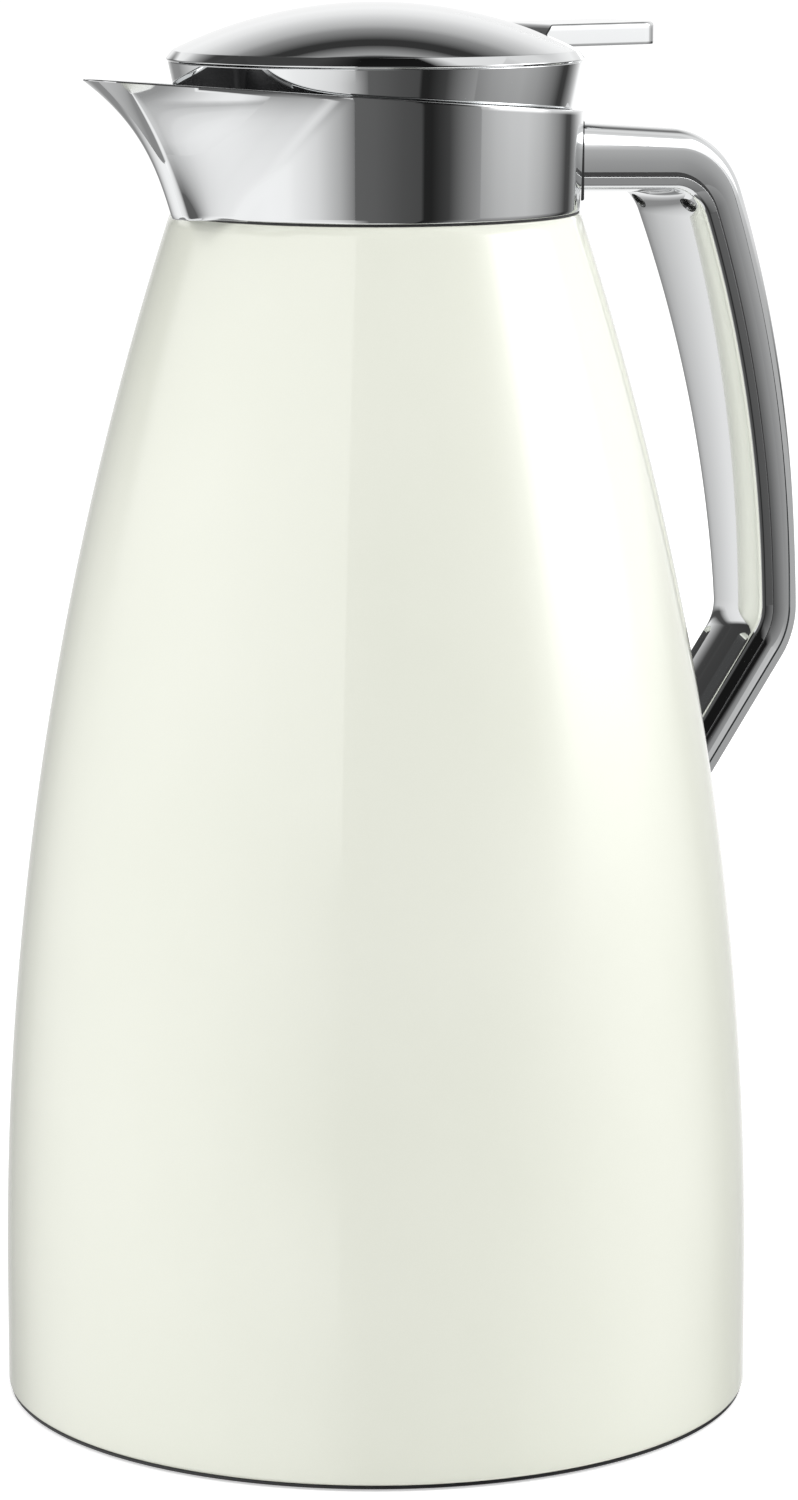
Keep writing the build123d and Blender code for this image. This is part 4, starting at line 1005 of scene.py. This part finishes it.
# Low cards, seen in the spout's hollow flank, which looks down
card("left_low", [(-52, 1.05, 0), (-44, 1.06, 1), (-38, 1.03, 1), (-31, 0.98, 1), (-24, 0.9, 1), (-20, 0.82, 1),
                  (-16, 0.69, 1), (-12, 0.54, 1), (-9, 0.4, 1), (-4, 0.18, 1)],
     upright(2.88, (-0.2, 0.92, 0), (-0.9, 0.92, 1), (-1.8, 0.96, 1), (-2.95, 1.12, 1)))
card("floor_sheet", [(-150, 0.6, 1), (-106, 0.4, 1), (-85, 0.3, 1), (-45, 0.3, 1), (-36, 1.0, 1), (-28, 1.08, 1),
                     (-22, 1.05, 1), (-18, 0.97, 1), (-15, 0.85, 1), (-13, 0.68, 1), (-11, 0.4, 1), (-9, 0.25, 1),
                     (0, 0.13, 1), (28, 0.05, 1), (50, 0.3, 1)],
     level(-2.94, (2.95, 0.92, 1), (2.3, 1, 1), (0.3, 1, 1)))
card("floor_glow", [(-12.5, 1, 0), (-10, 1, 1), (10, 1, 1), (26, 1, 0)],
     level(-2.92, (2.95, 0.6, 1), (2.5, 0.85, 1), (2.0, 1.03, 1), (1.6, 1.02, 1), (1.3, 0.94, 1), (1.04, 0.8, 1),
           (0.8, 0.6, 1), (0.65, 0.45, 1), (0.5, 0.36, 1), (0.3, 0.34, 1)))

# High cards, seen in the dome, the handle's upper side and the lever's plate
card("high_left", [(-128, 0.06, 0), (-120, 0.06, 1), (-60, 0.03, 1), (-50, 0.03, 0)],
     upright(2.94, (1.7, 1, 0), (2.2, 1, 1), (3.6, 1, 1)))
card("left_back_high", [(-190, 1.0, 0), (-180, 1.0, 1), (-166, 1.0, 1), (-155, 0.1, 1), (-122, 0.08, 1),
                        (-112, 0.3, 0)], upright(2.95, (0.1, 1, 0), (0.6, 1, 1), (1.6, 1, 1), (3.5, 0.3, 1)))
card("right_back_high", [(104, 0.9, 0), (114, 0.85, 1), (150, 0.85, 1), (164, 0.95, 1), (176, 1, 0)],
     upright(2.95, (0.05, 1, 0), (0.3, 1, 1), (3.6, 1, 1)))
card("front_high", [(22, 0.01, 0), (27, 0.01, 1), (54, 0.01, 1), (60, 0.01, 0)],
     upright(2.95, (0.3, 1, 0), (0.55, 1, 1), (3.7, 1, 1)))
card("right_softbox", [(64, 1, 0), (74, 1, 1), (104, 1, 1), (114, 1, 0)],
     upright(2.9, (0.0, 1.2, 0), (0.3, 1.6, 1), (0.8, 4.0, 1), (1.9, 4.0, 1), (2.4, 3.0, 0)))
card("back_sweep", [(128, 1, 0), (145, 1, 1), (215, 1, 1), (232, 1, 0)],
     upright(2.9, (0.9, 1.03, 0), (1.16, 1.03, 1), (1.56, 0.92, 1), (1.94, 0.71, 1), (2.3, 0.52, 1), (2.54, 0.31, 1),
             (2.88, 0.17, 1), (3.17, 0.04, 1), (3.6, 0.04, 1)))
card("overhead_panel", [(140, 1, 0), (155, 1, 1), (205, 1, 1), (220, 1, 0)],
     level(3.5, (2.86, 0.08, 1), (2.7, 0.18, 1), (2.4, 0.4, 1), (2.3, 0.42, 0)))
card("ceiling", [(-180, 0.03, 1), (-150, 0.06, 1), (-60, 0.06, 1), (-20, 0.01, 1), (56, 0.01, 1), (76, 0.9, 1),
                 (118, 0.9, 1), (138, 0.05, 1), (180, 0.03, 1)], level(3.6, (2.99, 1, 1), (1.2, 1, 1), (0.01, 0.5, 1)))

# Camera
shot = bpy.data.cameras.new("camera")
shot.sensor_fit, shot.sensor_height = "VERTICAL", sensor_height
shot.lens = focal_pixels * sensor_height / picture_rows
shot.clip_start, shot.clip_end = 0.05, 100
camera = placed("camera", shot)
camera.location = toward(0, camera_reach, camera_height)
camera.rotation_euler = (radians(90 - look_down), 0, radians(-view_turn - look_aside))
scene.camera = camera
